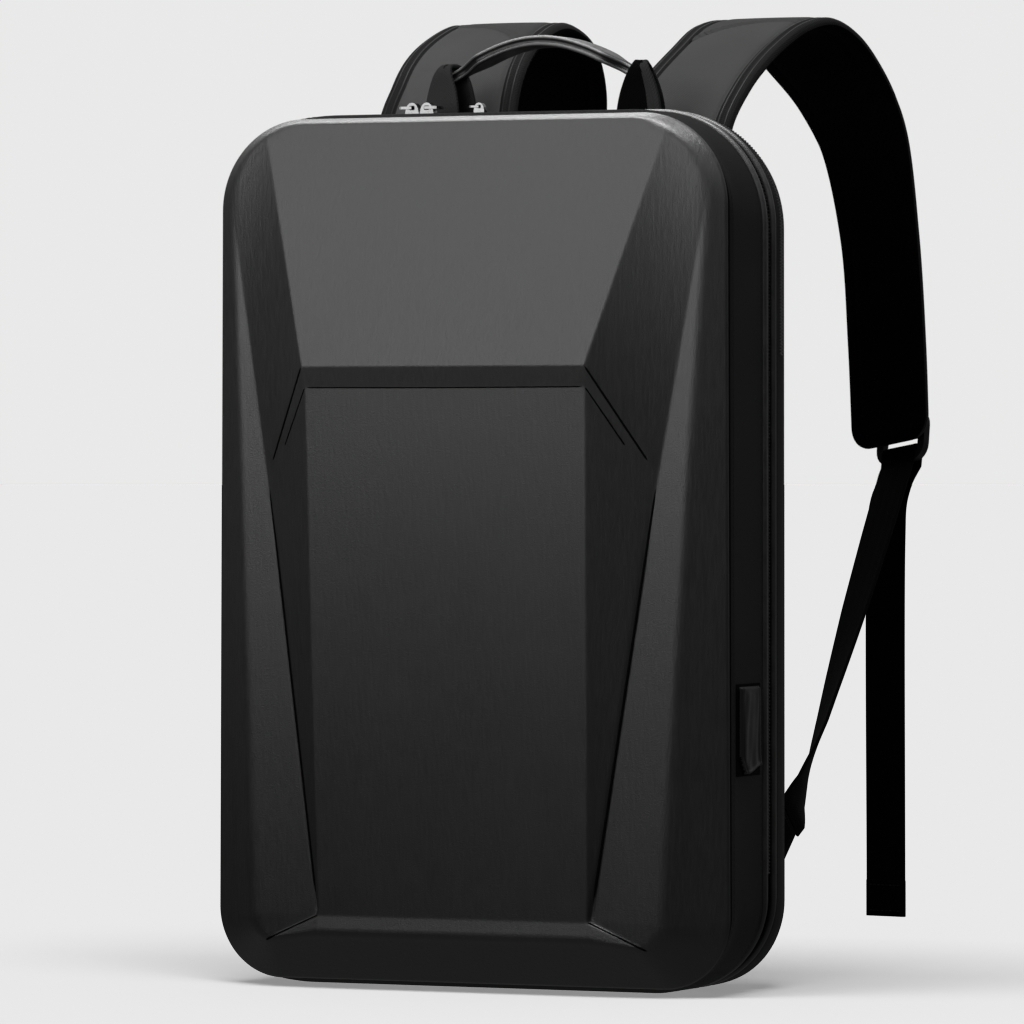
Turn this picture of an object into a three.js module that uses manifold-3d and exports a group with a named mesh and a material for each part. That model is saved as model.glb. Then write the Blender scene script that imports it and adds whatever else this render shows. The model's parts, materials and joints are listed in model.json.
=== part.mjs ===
// Hard-shell laptop backpack, standing on its base, in millimetres.
// X runs across the bag, Y from its front to its back and Z up from the floor.
// Depths are measured backwards from the plane of the shell's seam.

import * as THREE from 'three';
import { mergeVertices } from 'three/addons/utils/BufferGeometryUtils.js';
import Module from 'manifold-3d';

const wasm = await Module();
wasm.setup();

// Driving dimensions

const GAP = 0.3; // clearance between neighbouring pieces
const ORIGIN_DEPTH = 23.5; // depth of the frame's origin behind the seam
const CORNER_STEPS = 6; // facets in each rounded corner of the bag
const FABRIC = 2.5; // lined fabric walls

// Outlines of the bag seen from the front: half width, how much wider each side is at its foot,
// heights of top and bottom, corner radii
const SEAM = { half: 145, flare: 1.5, top: 455, bottom: 3, topRadius: 48, bottomRadius: 37 };
const GIRTH = { half: 145.5, flare: 0.3, top: 457.5, bottom: 0, topRadius: 60, bottomRadius: 48 };

// Moulded front shell
const SHELL_LIP = 2.5; // straight edge behind the seam plane
const SHELL_INSET = 2; // how far the hollow lies inside the outer form, each way
const SHELL_REACH = 180; // the relief's facets run past the outline to here
const SHELL_HIGH = 470;
const SHELL_LOW = -30;

// How the shell's edge slopes in: distance out of the seam plane, and insets there from the seam's outline
const FLANK = [
  { proud: 0, side: 0, top: 0, bottom: 0, topRadius: 48, bottomRadius: 37 },
  { proud: 1.5, side: 0.7, top: 0.4, bottom: 0.6, topRadius: 47.5, bottomRadius: 36.5 },
  { proud: 12, side: 16.2, top: 3.4, bottom: 11, topRadius: 36, bottomRadius: 24 },
  { proud: 23, side: 31, top: 9, bottom: 22, topRadius: 24, bottomRadius: 12 },
  { proud: 40, side: 54, top: 22, bottom: 38, topRadius: 8, bottomRadius: 4 },
];

// Corners of the relief on the right half: distance from the middle, height, distance out of the seam plane
const RELIEF = {
  panelTop: { x: 113, z: 441.5, proud: 10.7 },
  panelFoot: { x: 80.6, z: 324.5, proud: 37.3 },
  fieldTop: { x: 79.8, z: 313.5, proud: 34.4 },
  fieldFoot: { x: 77, z: 38, proud: 25 },
  ledgeFoot: { x: 77, z: 26, proud: 27.2 },
  foldTop: { x: 137.7, z: 420, proud: 5 },
  foldJoin: { x: 112, z: 268, proud: 12.7 },
  foldFoot: { x: 78.4, z: 38, proud: 22.4 },
  creaseEnd: { x: 109.5, z: 24, proud: 22.5 },
};
const RULE_STEPS = 4; // flat strips in each twisted side facet

// Soft body behind the shell
const SWELL_DEPTH = 17; // the front gusset swells from the seam to the girth over this depth
const FRONT_GUSSET_DEPTHS = [SHELL_LIP + GAP, 9, SWELL_DEPTH, 45.6];
const FRONT_PIPING = { depth: 47.9, radius: 2, stand: 1.3 };
const ZIP_TAPE = { from: 50.2, to: 58.2, recess: 2.2, wall: 2 };
const MAIN_COIL = { depth: 54.2, width: 6, height: 1.2, foot: 60 };
const REAR_PIPING = { depth: 60.2, radius: 1.7, stand: 1 };
const REAR_GUSSET = [
  { depth: 62.2, inset: 0, rise: 0 },
  { depth: 72, inset: 0.5, rise: 0 },
  { depth: 80, inset: 2.5, rise: 0 },
  { depth: 88, inset: 6.5, rise: 0 },
  { depth: 94, inset: 11.5, rise: 1.2 },
  { depth: 98, inset: 17.5, rise: 4.5 },
];
const REAR_COIL = { depth: 70, width: 5, height: 1.2, foot: 330 };
const BACK_PANEL = [
  { depth: 98.3, inset: 18.5 },
  { depth: 100, inset: 17 },
  { depth: 103, inset: 18 },
  { depth: 105.6, inset: 24 },
];

// Carry handle
const HANDLE = { x: 2, depth: 89 };
const GRIP = { half: 60, ends: 475.5, crest: 498, thickness: 6, chamfer: 1.8, steps: 16 };
const GRIP_WIDTH = { middle: 20, ends: 6 };
const GRIP_NARROWING = { from: 0.58, to: 0.8 }; // shares of the half length over which the ends narrow
const LOOP = { x: 55.5, baseWidth: 25, topWidth: 7.5, flare: 2.5, thickness: 2, chamfer: 0.5, turn: 15 };
const LOOP_LEG = { top: 485.6, waist: 6.3, foot: 8, bend: 3 };

// Shoulder strap, as on the right: middle of the pad, its width, and how far its outer edge turns forwards
const PAD = { thickness: 8, chamfer: 2.5, endRadius: 13, steps: 3 };
const STRAP_ROOT = [
  { x: 62, depth: 110, z: 372, width: 74, turn: 0 },
  { x: 62.5, depth: 110, z: 405, width: 74, turn: 0 },
  { x: 63, depth: 110.5, z: 430, width: 74, turn: 0 },
];
const STRAP_RISE = {
  right: [
    { x: 62.8, depth: 116, z: 450, width: 70.5, turn: 0 },
    { x: 65.9, depth: 140, z: 474, width: 66.3, turn: 0 },
    { x: 69.7, depth: 172, z: 494.5, width: 65, turn: 0 },
    { x: 73.2, depth: 200, z: 507.7, width: 68.6, turn: 0 },
  ],
  left: [
    { x: 67.5, depth: 113, z: 452, width: 81.5, turn: 0 },
    { x: 68.3, depth: 128, z: 477.5, width: 77, turn: 0 },
    { x: 71, depth: 152, z: 494.5, width: 74, turn: 0 },
    { x: 74, depth: 196, z: 510, width: 70, turn: 0 },
  ],
};
const STRAP_FALL = [
  { x: 78, depth: 228, z: 511.8, width: 69.5, turn: 2 },
  { x: 81, depth: 254, z: 504.8, width: 72, turn: 6 },
  { x: 85, depth: 275, z: 491.5, width: 71.5, turn: 9 },
  { x: 90.9, depth: 296, z: 472, width: 67.2, turn: 14 },
  { x: 97, depth: 304, z: 452, width: 63, turn: 18 },
  { x: 104.5, depth: 309, z: 400, width: 60.2, turn: 24 },
  { x: 110.5, depth: 305, z: 340, width: 59, turn: 24 },
  { x: 116, depth: 297, z: 284, width: 58, turn: 24 },
];

// Strap adjuster against the outer face of the pad's end, in its own upright plane
const LOCK = { width: 37, thickness: 4, top: 15, bottom: -13.5, slotWidth: 27, radius: 9, slotRadius: 1 };
const LOCK_SLOTS = [
  { low: 3.5, high: 9.5 },
  { low: -8, high: -0.5 },
];
const LOCK_LOOP = { width: 25, wall: 1.2, low: 8.9, high: 16, half: 2.5, chamfer: 0.8 };
// Where its middle is from the middle of the pad's end, and how far its foot leans forwards
const LOCK_PLACE = { across: 3, back: 6.9, rise: 3, lean: 8 };

// Adjuster webbing: its measures, the tab it is sewn to, the way up to the adjuster, and the hanging tail
const WEBBING = { width: 25, thickness: 1.6, chamfer: 0.4, clear: 0.4 };
const WEBBING_TURN = { steps: 6, lead: 7, twistSteps: 5 }; // round the adjuster's bar, and the way to it
const TAB = { thickness: 2.4, half: 20.5, reach: 15.5, x: 132.9, depth: 95.8, z: 79, turn: 75 };
const TAB_SEAM = { share: 0.6, lead: 6 }; // where the webbing leaves the tab's edge, and how far straight
const WEBBING_ROUTE = [
  { along: 0.055, sag: 0.6, twist: 0.28 },
  { along: 0.155, sag: 1.2, twist: 0.49 },
  { along: 0.225, sag: 1.5, twist: 0.57 },
  { along: 0.3, sag: 1.3, twist: 0.62 },
  { along: 0.4, sag: 1, twist: 0.7 },
  { along: 0.6, sag: 0.6, twist: 0.85 },
  { along: 0.82, sag: 0.3, twist: 0.95 },
];
const TAIL_TURN = 12;
const TAIL_LEAD = 6.5; // straight down behind the adjuster before the tail hangs free
const TAIL = [
  { x: 118, depth: 298.3, z: 262, turned: 0.4 },
  { x: 115, depth: 296.6, z: 252, turned: 0.7 },
  { x: 113.8, depth: 295.9, z: 232, turned: 1 },
  { x: 113.8, depth: 295.9, z: 120, turned: 1 },
  { x: 113.8, depth: 295.9, z: 24.5, turned: 1 },
];

// Zip sliders and pulls
const SLIDER = { length: 8, width: 5, height: 8, base: 2.6, eyeLow: 4, eyeHigh: 6.4, eyeHalf: 1.6 };
const PULL = { length: 7.5, width: 8.6, arm: 1.4, thickness: 1.4, eye: 4.8, pin: 0.55 };
const MAIN_SEAT = GIRTH.top - ZIP_TAPE.recess + GAP + MAIN_COIL.height; // top of the main zip's teeth
const REAR_SEAT = GIRTH.top + GAP + REAR_COIL.height;
const SLIDERS = [
  { name: '1', x: -59, depth: MAIN_COIL.depth, seat: MAIN_SEAT, size: 1, side: -1 },
  { name: '2', x: -50.4, depth: MAIN_COIL.depth, seat: MAIN_SEAT, size: 1, side: 1 },
  { name: '3', x: -27.5, depth: REAR_COIL.depth, seat: REAR_SEAT, size: 0.75, side: -1 },
];

// Port flap on the right side
const FLAP = { depth: 8.6, width: 31.5, bottom: 113, height: 47.5, thickness: 1.6, radius: 4, bevel: 0.4 };

const MATERIALS = {
  shell: { color: 0x3c3c3d, roughness: 0.55, metalness: 0 },
  fabric: { color: 0x1f1f20, roughness: 0.9, metalness: 0 },
  piping: { color: 0x242425, roughness: 0.5, metalness: 0 },
  zip: { color: 0x17171a, roughness: 0.7, metalness: 0 },
  strap: { color: 0x303031, roughness: 0.9, metalness: 0 },
  webbing: { color: 0x0d0d0e, roughness: 0.85, metalness: 0 },
  buckle: { color: 0x101011, roughness: 0.45, metalness: 0 },
  metal: { color: 0xd8d8da, roughness: 0.2, metalness: 1 },
};

// Geometry helpers

const radians = THREE.MathUtils.degToRad;
const lerp = THREE.MathUtils.lerp;

function at(x, depth, z) {
  return new THREE.Vector3(x, depth - ORIGIN_DEPTH, z);
}

function mixed(a, b, t) {
  return Object.fromEntries(Object.keys(a).map((key) => [key, lerp(a[key], b[key], t)]));
}

function inset(outline, d, rise = d) {
  return {
    half: outline.half - d,
    flare: outline.flare,
    top: outline.top - d,
    bottom: outline.bottom + rise,
    topRadius: outline.topRadius - d * 0.7,
    bottomRadius: outline.bottomRadius - d * 0.7,
  };
}

// Points round a bag outline at a depth, from the bottom right corner up and over
function outlinePoints(outline, depth) {
  const { half, flare, top, bottom, topRadius, bottomRadius } = outline;
  const foot = half + flare - bottomRadius;
  const corners = [
    { x: foot, z: bottom + bottomRadius, radius: bottomRadius, start: -90 },
    { x: half - topRadius, z: top - topRadius, radius: topRadius, start: 0 },
    { x: topRadius - half, z: top - topRadius, radius: topRadius, start: 90 },
    { x: -foot, z: bottom + bottomRadius, radius: bottomRadius, start: 180 },
  ];
  const points = [];
  for (const { x, z, radius, start } of corners) {
    for (let i = 0; i <= CORNER_STEPS; i += 1) {
      const angle = radians(start + (90 * i) / CORNER_STEPS);
      points.push(at(x + radius * Math.cos(angle), depth, z + radius * Math.sin(angle)));
    }
  }
  return points;
}

// Half width of a bag outline at a height on its straight side
function halfAt(outline, z) {
  const high = outline.top - outline.topRadius;
  const low = outline.bottom + outline.bottomRadius;
  return outline.half + (outline.flare * (high - z)) / (high - low);
}

// A closed solid from points and triangles, with its faces turned outwards
function solid(points, triangles) {
  let volume = 0;
  for (const [a, b, c] of triangles) {
    volume += points[a].dot(new THREE.Vector3().crossVectors(points[b], points[c]));
  }
  const outward = volume < 0 ? triangles.map(([a, b, c]) => [a, c, b]) : triangles;
  const geometry = new THREE.BufferGeometry().setFromPoints(points);
  geometry.setIndex(outward.flat());
  geometry.computeVertexNormals();
  return geometry;
}

// Skin through rings of equally many points, closed into a hoop or capped at both ends
function loft(rings, hoop = false) {
  const count = rings[0].length;
  const triangles = [];
  const spans = hoop ? rings.length : rings.length - 1;
  for (let r = 0; r < spans; r += 1) {
    const here = r * count;
    const next = ((r + 1) % rings.length) * count;
    for (let i = 0; i < count; i += 1) {
      const j = (i + 1) % count;
      triangles.push([here + i, here + j, next + j], [here + i, next + j, next + i]);
    }
  }
  if (!hoop) {
    const last = (rings.length - 1) * count;
    for (let i = 1; i < count - 1; i += 1) {
      triangles.push([0, i + 1, i], [last, last + i, last + i + 1]);
    }
  }
  return solid(rings.flat(), triangles);
}

function mirrored(geometry) {
  const positions = geometry.getAttribute('position');
  const points = [];
  for (let i = 0; i < positions.count; i += 1) {
    const point = new THREE.Vector3().fromBufferAttribute(positions, i);
    points.push(point.setX(-point.x));
  }
  const index = Array.from(geometry.index.array);
  const triangles = [];
  for (let i = 0; i < index.length; i += 3) {
    triangles.push(index.slice(i, i + 3));
  }
  return solid(points, triangles);
}

// A flat band bent along a path: each stop has a point, the direction across the band, and its width
function band(stops, thickness, chamfer) {
  const rings = stops.map(({ point, across, width }, i) => {
    const before = stops[Math.max(i - 1, 0)].point;
    const after = stops[Math.min(i + 1, stops.length - 1)].point;
    const along = new THREE.Vector3().subVectors(after, before).normalize();
    const wide = across.clone().addScaledVector(along, -across.dot(along)).normalize();
    const thick = new THREE.Vector3().crossVectors(along, wide);
    const a = width / 2;
    const b = thickness / 2;
    const section = [
      [a, b - chamfer], [a - chamfer, b], [chamfer - a, b], [-a, b - chamfer],
      [-a, chamfer - b], [chamfer - a, -b], [a - chamfer, -b], [a, chamfer - b],
    ];
    return section.map(([u, v]) => point.clone().addScaledVector(wide, u).addScaledVector(thick, v));
  });
  return loft(rings);
}

function toManifold(geometry) {
  const bare = geometry.clone();
  bare.deleteAttribute('normal');
  bare.deleteAttribute('uv');
  const joined = mergeVertices(bare);
  const vertProperties = new Float32Array(joined.getAttribute('position').array);
  const triVerts = new Uint32Array(joined.index.array);
  return new wasm.Manifold(new wasm.Mesh({ numProp: 3, vertProperties, triVerts }));
}

function fromManifold(body) {
  const { vertProperties, triVerts } = body.getMesh();
  const geometry = new THREE.BufferGeometry();
  geometry.setAttribute('position', new THREE.BufferAttribute(vertProperties, 3));
  geometry.setIndex(new THREE.BufferAttribute(triVerts, 1));
  geometry.computeVertexNormals();
  return geometry;
}

// Moulded front shell

// The point of the line from one relief corner through another at a given height
function extended(from, through, z) {
  const t = (z - from.z) / (through.z - from.z);
  return mixed(from, through, t);
}

// Facets of the right half, each a loop of corners, running past the shell's outline
function reliefFacets() {
  const { panelTop, panelFoot, fieldTop, fieldFoot, ledgeFoot } = RELIEF;
  const { foldTop, foldJoin, foldFoot, creaseEnd } = RELIEF;
  const middle = (corner) => ({ ...corner, x: 0 });
  const outer = (corner) => ({ ...corner, x: SHELL_REACH });
  const low = (corner) => ({ ...corner, z: SHELL_LOW });
  const row = (a, b) => Array.from({ length: RULE_STEPS + 1 }, (_, i) => mixed(a, b, i / RULE_STEPS));
  const panelHigh = extended(panelFoot, panelTop, SHELL_HIGH);
  const panelEdge = row(panelHigh, panelFoot);
  const fieldEdge = row(fieldTop, fieldFoot);
  const upperFold = row(extended(foldJoin, foldTop, SHELL_HIGH), foldJoin);
  const lowerFold = row(foldJoin, foldFoot);
  const facets = [
    [middle(panelHigh), middle(panelFoot), ...panelEdge.toReversed()],
    [middle(panelFoot), middle(fieldTop), fieldTop, panelFoot],
    [middle(fieldTop), middle(fieldFoot), ...fieldEdge.toReversed()],
    [middle(fieldFoot), middle(ledgeFoot), ledgeFoot, fieldFoot],
    [middle(ledgeFoot), middle(low(ledgeFoot)), low(ledgeFoot), ledgeFoot],
    [panelFoot, fieldTop, foldJoin],
    [fieldFoot, ledgeFoot, creaseEnd, foldFoot],
    [ledgeFoot, low(ledgeFoot), low(creaseEnd), creaseEnd],
    [foldFoot, creaseEnd, outer(creaseEnd), outer(foldFoot)],
    [creaseEnd, low(creaseEnd), outer(low(creaseEnd)), outer(creaseEnd)],
  ];
  for (const [edge, fold] of [[panelEdge, upperFold], [fieldEdge, lowerFold]]) {
    for (let i = 0; i < RULE_STEPS; i += 1) {
      facets.push([edge[i], edge[i + 1], fold[i + 1], fold[i]]);
      facets.push([fold[i], fold[i + 1], outer(fold[i + 1]), outer(fold[i])]);
    }
  }
  return facets;
}

// Block whose front carries the relief, sunk by a distance, and whose back lies at a depth
function reliefBlock(sunk, backDepth) {
  const keys = new Map();
  const front = [];
  const vertex = ({ x, z, proud }, side) => {
    const key = [side * x, z].map((value) => Math.round(value * 1000)).join();
    if (!keys.has(key)) {
      keys.set(key, front.length);
      front.push(at(side * x, sunk - proud, z));
    }
    return keys.get(key);
  };
  const faces = [];
  for (const facet of reliefFacets()) {
    for (let i = 1; i < facet.length - 1; i += 1) {
      const [a, b, c] = [facet[0], facet[i], facet[i + 1]];
      faces.push([a, b, c].map((corner) => vertex(corner, 1)));
      faces.push([a, c, b].map((corner) => vertex(corner, -1)));
    }
  }
  const count = front.length;
  const back = front.map((point) => new THREE.Vector3(point.x, backDepth - ORIGIN_DEPTH, point.z));
  const triangles = faces.concat(faces.map(([a, b, c]) => [count + a, count + c, count + b]));
  const edges = faces.flatMap(([a, b, c]) => [[a, b], [b, c], [c, a]]);
  const known = new Set(edges.map((edge) => edge.join()));
  for (const [a, b] of edges) {
    if (!known.has([b, a].join())) {
      triangles.push([b, a, count + a], [b, count + a, count + b]);
    }
  }
  return solid(front.concat(back), triangles);
}

// Sloping edge of the shell, drawn in by an inset, from a depth behind the seam to its front
function flankBlock(drawnIn, backDepth) {
  const rows = FLANK.map(({ proud, side, top, bottom, topRadius, bottomRadius }) => ({
    depth: drawnIn - proud,
    outline: {
      half: SEAM.half - side - drawnIn,
      flare: SEAM.flare,
      top: SEAM.top - top - drawnIn,
      bottom: SEAM.bottom + bottom + drawnIn,
      topRadius: topRadius - drawnIn,
      bottomRadius: bottomRadius - drawnIn,
    },
  }));
  const rim = { depth: backDepth, outline: rows[0].outline };
  return loft([rim, ...rows].map(({ depth, outline }) => outlinePoints(outline, depth)));
}

function frontShell() {
  const outer = toManifold(flankBlock(0, SHELL_LIP)).intersect(toManifold(reliefBlock(0, 2 * SHELL_LIP)));
  const hollowDepth = 4 * SHELL_LIP;
  const hollow = toManifold(flankBlock(SHELL_INSET, hollowDepth))
    .intersect(toManifold(reliefBlock(SHELL_INSET, 2 * hollowDepth)));
  return fromManifold(outer.subtract(hollow));
}

// Soft body

// Band round the bag with an outer skin through the given rows and a fabric wall
function walled(rows, wall) {
  const outer = rows.map(({ depth, outline }) => outlinePoints(outline, depth));
  const inner = rows.map(({ depth, outline }) => outlinePoints(inset(outline, wall), depth));
  return loft([...outer, ...inner.reverse()], true);
}

function frontGusset() {
  const rows = FRONT_GUSSET_DEPTHS.map((depth) => {
    const swell = Math.sin((Math.min(depth / SWELL_DEPTH, 1) * Math.PI) / 2);
    return { depth, outline: mixed(SEAM, GIRTH, swell) };
  });
  return walled(rows, FABRIC);
}

// Round cord along the girth, standing proud of it at the sides and top and flush with the base
function piping({ depth, radius, stand }) {
  const sides = 8;
  const rings = [];
  for (let i = 0; i < sides; i += 1) {
    const angle = (2 * Math.PI * i) / sides;
    const out = stand - radius + radius * Math.cos(angle);
    const outline = inset(GIRTH, -out, radius - radius * Math.cos(angle));
    rings.push(outlinePoints(outline, depth + radius * Math.sin(angle)));
  }
  return loft(rings, true);
}

function zipTape() {
  const outline = inset(GIRTH, ZIP_TAPE.recess);
  return walled([{ depth: ZIP_TAPE.from, outline }, { depth: ZIP_TAPE.to, outline }], ZIP_TAPE.wall);
}

// Zip teeth as a low rounded rib that follows an outline from one side's foot over the top to the other's
function zipCoil(outline, { depth, width, height, foot }) {
  const whole = outlinePoints(outline, depth);
  const first = CORNER_STEPS + 1;
  const arc = whole.slice(first, first + 2 * (CORNER_STEPS + 1));
  const footX = halfAt(outline, foot);
  const path = [at(footX, depth, foot), ...arc, at(-footX, depth, foot)];
  const rings = path.map((point, i) => {
    const before = path[Math.max(i - 1, 0)];
    const after = path[Math.min(i + 1, path.length - 1)];
    const along = new THREE.Vector3().subVectors(after, before).normalize();
    const out = new THREE.Vector3(along.z, 0, -along.x);
    const half = width / 2;
    const section = [
      [-half, 0], [half, 0], [half, height / 2],
      [half / 2, height], [-half / 2, height], [-half, height / 2],
    ];
    return section.map(([u, v]) => point.clone().addScaledVector(out, v).add(new THREE.Vector3(0, u, 0)));
  });
  return loft(rings);
}

function rearGusset() {
  const rows = REAR_GUSSET.map(({ depth, inset: d, rise }) => ({ depth, outline: inset(GIRTH, d, rise) }));
  return walled(rows, FABRIC);
}

function backPanel() {
  const foot = REAR_GUSSET.at(-1);
  return loft(BACK_PANEL.map(({ depth, inset: d }) => {
    return outlinePoints(inset(GIRTH, d, d - foot.inset + foot.rise), depth);
  }));
}

// Carry handle

function handleGrip() {
  const across = new THREE.Vector3(0, 1, 0);
  const stops = [];
  for (let i = 0; i <= GRIP.steps; i += 1) {
    const u = (2 * i) / GRIP.steps - 1;
    const z = lerp(GRIP.ends, GRIP.crest, Math.cos((u * Math.PI) / 2));
    const narrowed = THREE.MathUtils.smoothstep(Math.abs(u), GRIP_NARROWING.from, GRIP_NARROWING.to);
    const width = lerp(GRIP_WIDTH.middle, GRIP_WIDTH.ends, narrowed);
    stops.push({ point: at(HANDLE.x + u * GRIP.half, HANDLE.depth, z), across, width });
  }
  return band(stops, GRIP.thickness, GRIP.chamfer);
}

// Height of the bag's top at a depth behind the zips
function topHeight(depth) {
  const i = REAR_GUSSET.findIndex((row) => row.depth >= depth);
  const [before, after] = [REAR_GUSSET[i - 1], REAR_GUSSET[i]];
  const t = (depth - before.depth) / (after.depth - before.depth);
  return GIRTH.top - lerp(before.inset, after.inset, t);
}

// Folded loop over the right end of the grip, turned outwards, from the bag's top up and down again behind
function handleLoop() {
  const { top, waist, foot, bend } = LOOP_LEG;
  const across = turned(-LOOP.turn);
  const behind = new THREE.Vector3(-across.y, across.x, 0);
  const place = (offset, z) => at(LOOP.x, HANDLE.depth, z).addScaledVector(behind, offset);
  const arch = [];
  for (const side of [-1, 1]) {
    const nearest = HANDLE.depth + side * foot * behind.y - (LOOP.baseWidth * across.y + LOOP.thickness) / 2;
    const low = topHeight(nearest) + 1.5 * GAP;
    const leg = [
      place(side * foot, low),
      place((side * (foot + waist)) / 2, lerp(low, top, 0.5)),
      place(side * waist, top - bend),
      place(side * (waist - bend), top),
    ];
    arch.push(...(side < 0 ? leg : leg.toReversed()));
  }
  const low = arch.at(-1).z;
  const stops = arch.map((point) => {
    const share = (point.z - low) / (top - low);
    return { point, across, width: lerp(LOOP.baseWidth, LOOP.topWidth, share ** LOOP.flare) };
  });
  return band(stops, LOOP.thickness, LOOP.chamfer);
}

// Shoulder straps, adjusters and webbing, as on the right side

function turned(degrees) {
  return new THREE.Vector3(Math.cos(radians(degrees)), -Math.sin(radians(degrees)), 0);
}

function strapCurve(rows) {
  const points = rows.map(({ x, depth, z }) => at(x, depth, z));
  return new THREE.CatmullRomCurve3(points, false, 'centripetal');
}

function strapPad(rise) {
  const rows = [...STRAP_ROOT, ...rise, ...STRAP_FALL];
  const curve = strapCurve(rows);
  const spans = rows.length - 1;
  const last = spans * PAD.steps;
  const stops = [];
  for (let i = 0; i <= last; i += 1) {
    const row = Math.min(Math.floor(i / PAD.steps), spans - 1);
    const { width, turn } = mixed(rows[row], rows[row + 1], i / PAD.steps - row);
    stops.push({ point: curve.getPoint(i / last), across: turned(turn), width });
  }
  const end = stops.pop();
  const back = curve.getTangent(1).negate();
  for (const share of [1, 0.5, 0.15, 0]) {
    const narrowed = PAD.endRadius * (1 - Math.sqrt(1 - (1 - share) ** 2));
    const point = end.point.clone().addScaledVector(back, share * PAD.endRadius);
    stops.push({ point, across: end.across, width: end.width - 2 * narrowed });
  }
  return band(stops, PAD.thickness, PAD.chamfer);
}

// Frame of the adjuster, whose foot the webbing pulls forwards: x across it, y backwards, z up
const padFall = strapCurve(STRAP_FALL);
const padUp = padFall.getTangent(1).negate();
const lockAcross = turned(STRAP_FALL.at(-1).turn);
lockAcross.addScaledVector(padUp, -lockAcross.dot(padUp)).normalize();
const padBack = new THREE.Vector3().crossVectors(padUp, lockAcross);
const lockUp = padUp.clone().applyAxisAngle(lockAcross, -radians(LOCK_PLACE.lean));
const lockBack = new THREE.Vector3().crossVectors(lockUp, lockAcross);
const lockMiddle = padFall.getPoint(1);
lockMiddle.addScaledVector(lockAcross, LOCK_PLACE.across);
lockMiddle.addScaledVector(padBack, LOCK_PLACE.back);
lockMiddle.addScaledVector(padUp, LOCK_PLACE.rise);
const lockFrame = new THREE.Matrix4().makeBasis(lockAcross, lockBack, lockUp);
lockFrame.setPosition(lockMiddle);

function inLock(x, y, z) {
  return new THREE.Vector3(x, y, z).applyMatrix4(lockFrame);
}

function rectangle(left, right, low, high, radius) {
  const shape = new THREE.Shape();
  shape.moveTo(left + radius, low);
  shape.lineTo(right - radius, low);
  shape.absarc(right - radius, low + radius, radius, -Math.PI / 2, 0);
  shape.absarc(right - radius, high - radius, radius, 0, Math.PI / 2);
  shape.absarc(left + radius, high - radius, radius, Math.PI / 2, Math.PI);
  shape.absarc(left + radius, low + radius, radius, Math.PI, 1.5 * Math.PI);
  return shape;
}

// A drawn shape given thickness, standing upright with its face towards the front
function upright(shape, thickness, curveSegments = 3) {
  const geometry = new THREE.ExtrudeGeometry(shape, { depth: thickness, bevelEnabled: false, curveSegments });
  geometry.translate(0, 0, -thickness / 2);
  geometry.rotateX(Math.PI / 2);
  return geometry;
}

function ladderLock() {
  const { width, thickness, top, bottom, slotWidth, radius, slotRadius } = LOCK;
  const shape = rectangle(-width / 2, width / 2, bottom, top, radius);
  for (const { low, high } of LOCK_SLOTS) {
    shape.holes.push(rectangle(-slotWidth / 2, slotWidth / 2, low, high, slotRadius));
  }
  return upright(shape, thickness).applyMatrix4(lockFrame);
}

function buckleLoop() {
  const { width, wall, low, high, half, chamfer } = LOCK_LOOP;
  const ring = (grow) => [
    [-half - grow, low - grow + chamfer], [-half - grow + chamfer, low - grow],
    [half + grow - chamfer, low - grow], [half + grow, low - grow + chamfer],
    [half + grow, high + grow], [-half - grow, high + grow],
  ];
  const side = (x, grow) => ring(grow).map(([y, z]) => inLock(x, y, z));
  const edge = width / 2;
  return loft([side(-edge, wall), side(edge, wall), side(edge, 0), side(-edge, 0)], true);
}

// Corners of the folded tab: on the seam above, out at its tip, on the seam below
const tabOut = new THREE.Vector3(Math.cos(radians(TAB.turn)), Math.sin(radians(TAB.turn)), 0);
const tabRoot = at(TAB.x, TAB.depth, TAB.z);
const tabUpper = tabRoot.clone().add(new THREE.Vector3(0, 0, TAB.half));
const tabLower = tabRoot.clone().add(new THREE.Vector3(0, 0, -TAB.half));
const tabTip = tabRoot.clone().addScaledVector(tabOut, TAB.reach);

function anchorTab() {
  const through = new THREE.Vector3(-tabOut.y, tabOut.x, 0).multiplyScalar(TAB.thickness / 2);
  const faces = [1, -1].map((side) => [tabUpper, tabTip, tabLower]
    .map((corner) => corner.clone().addScaledVector(through, side)));
  return loft(faces);
}

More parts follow.
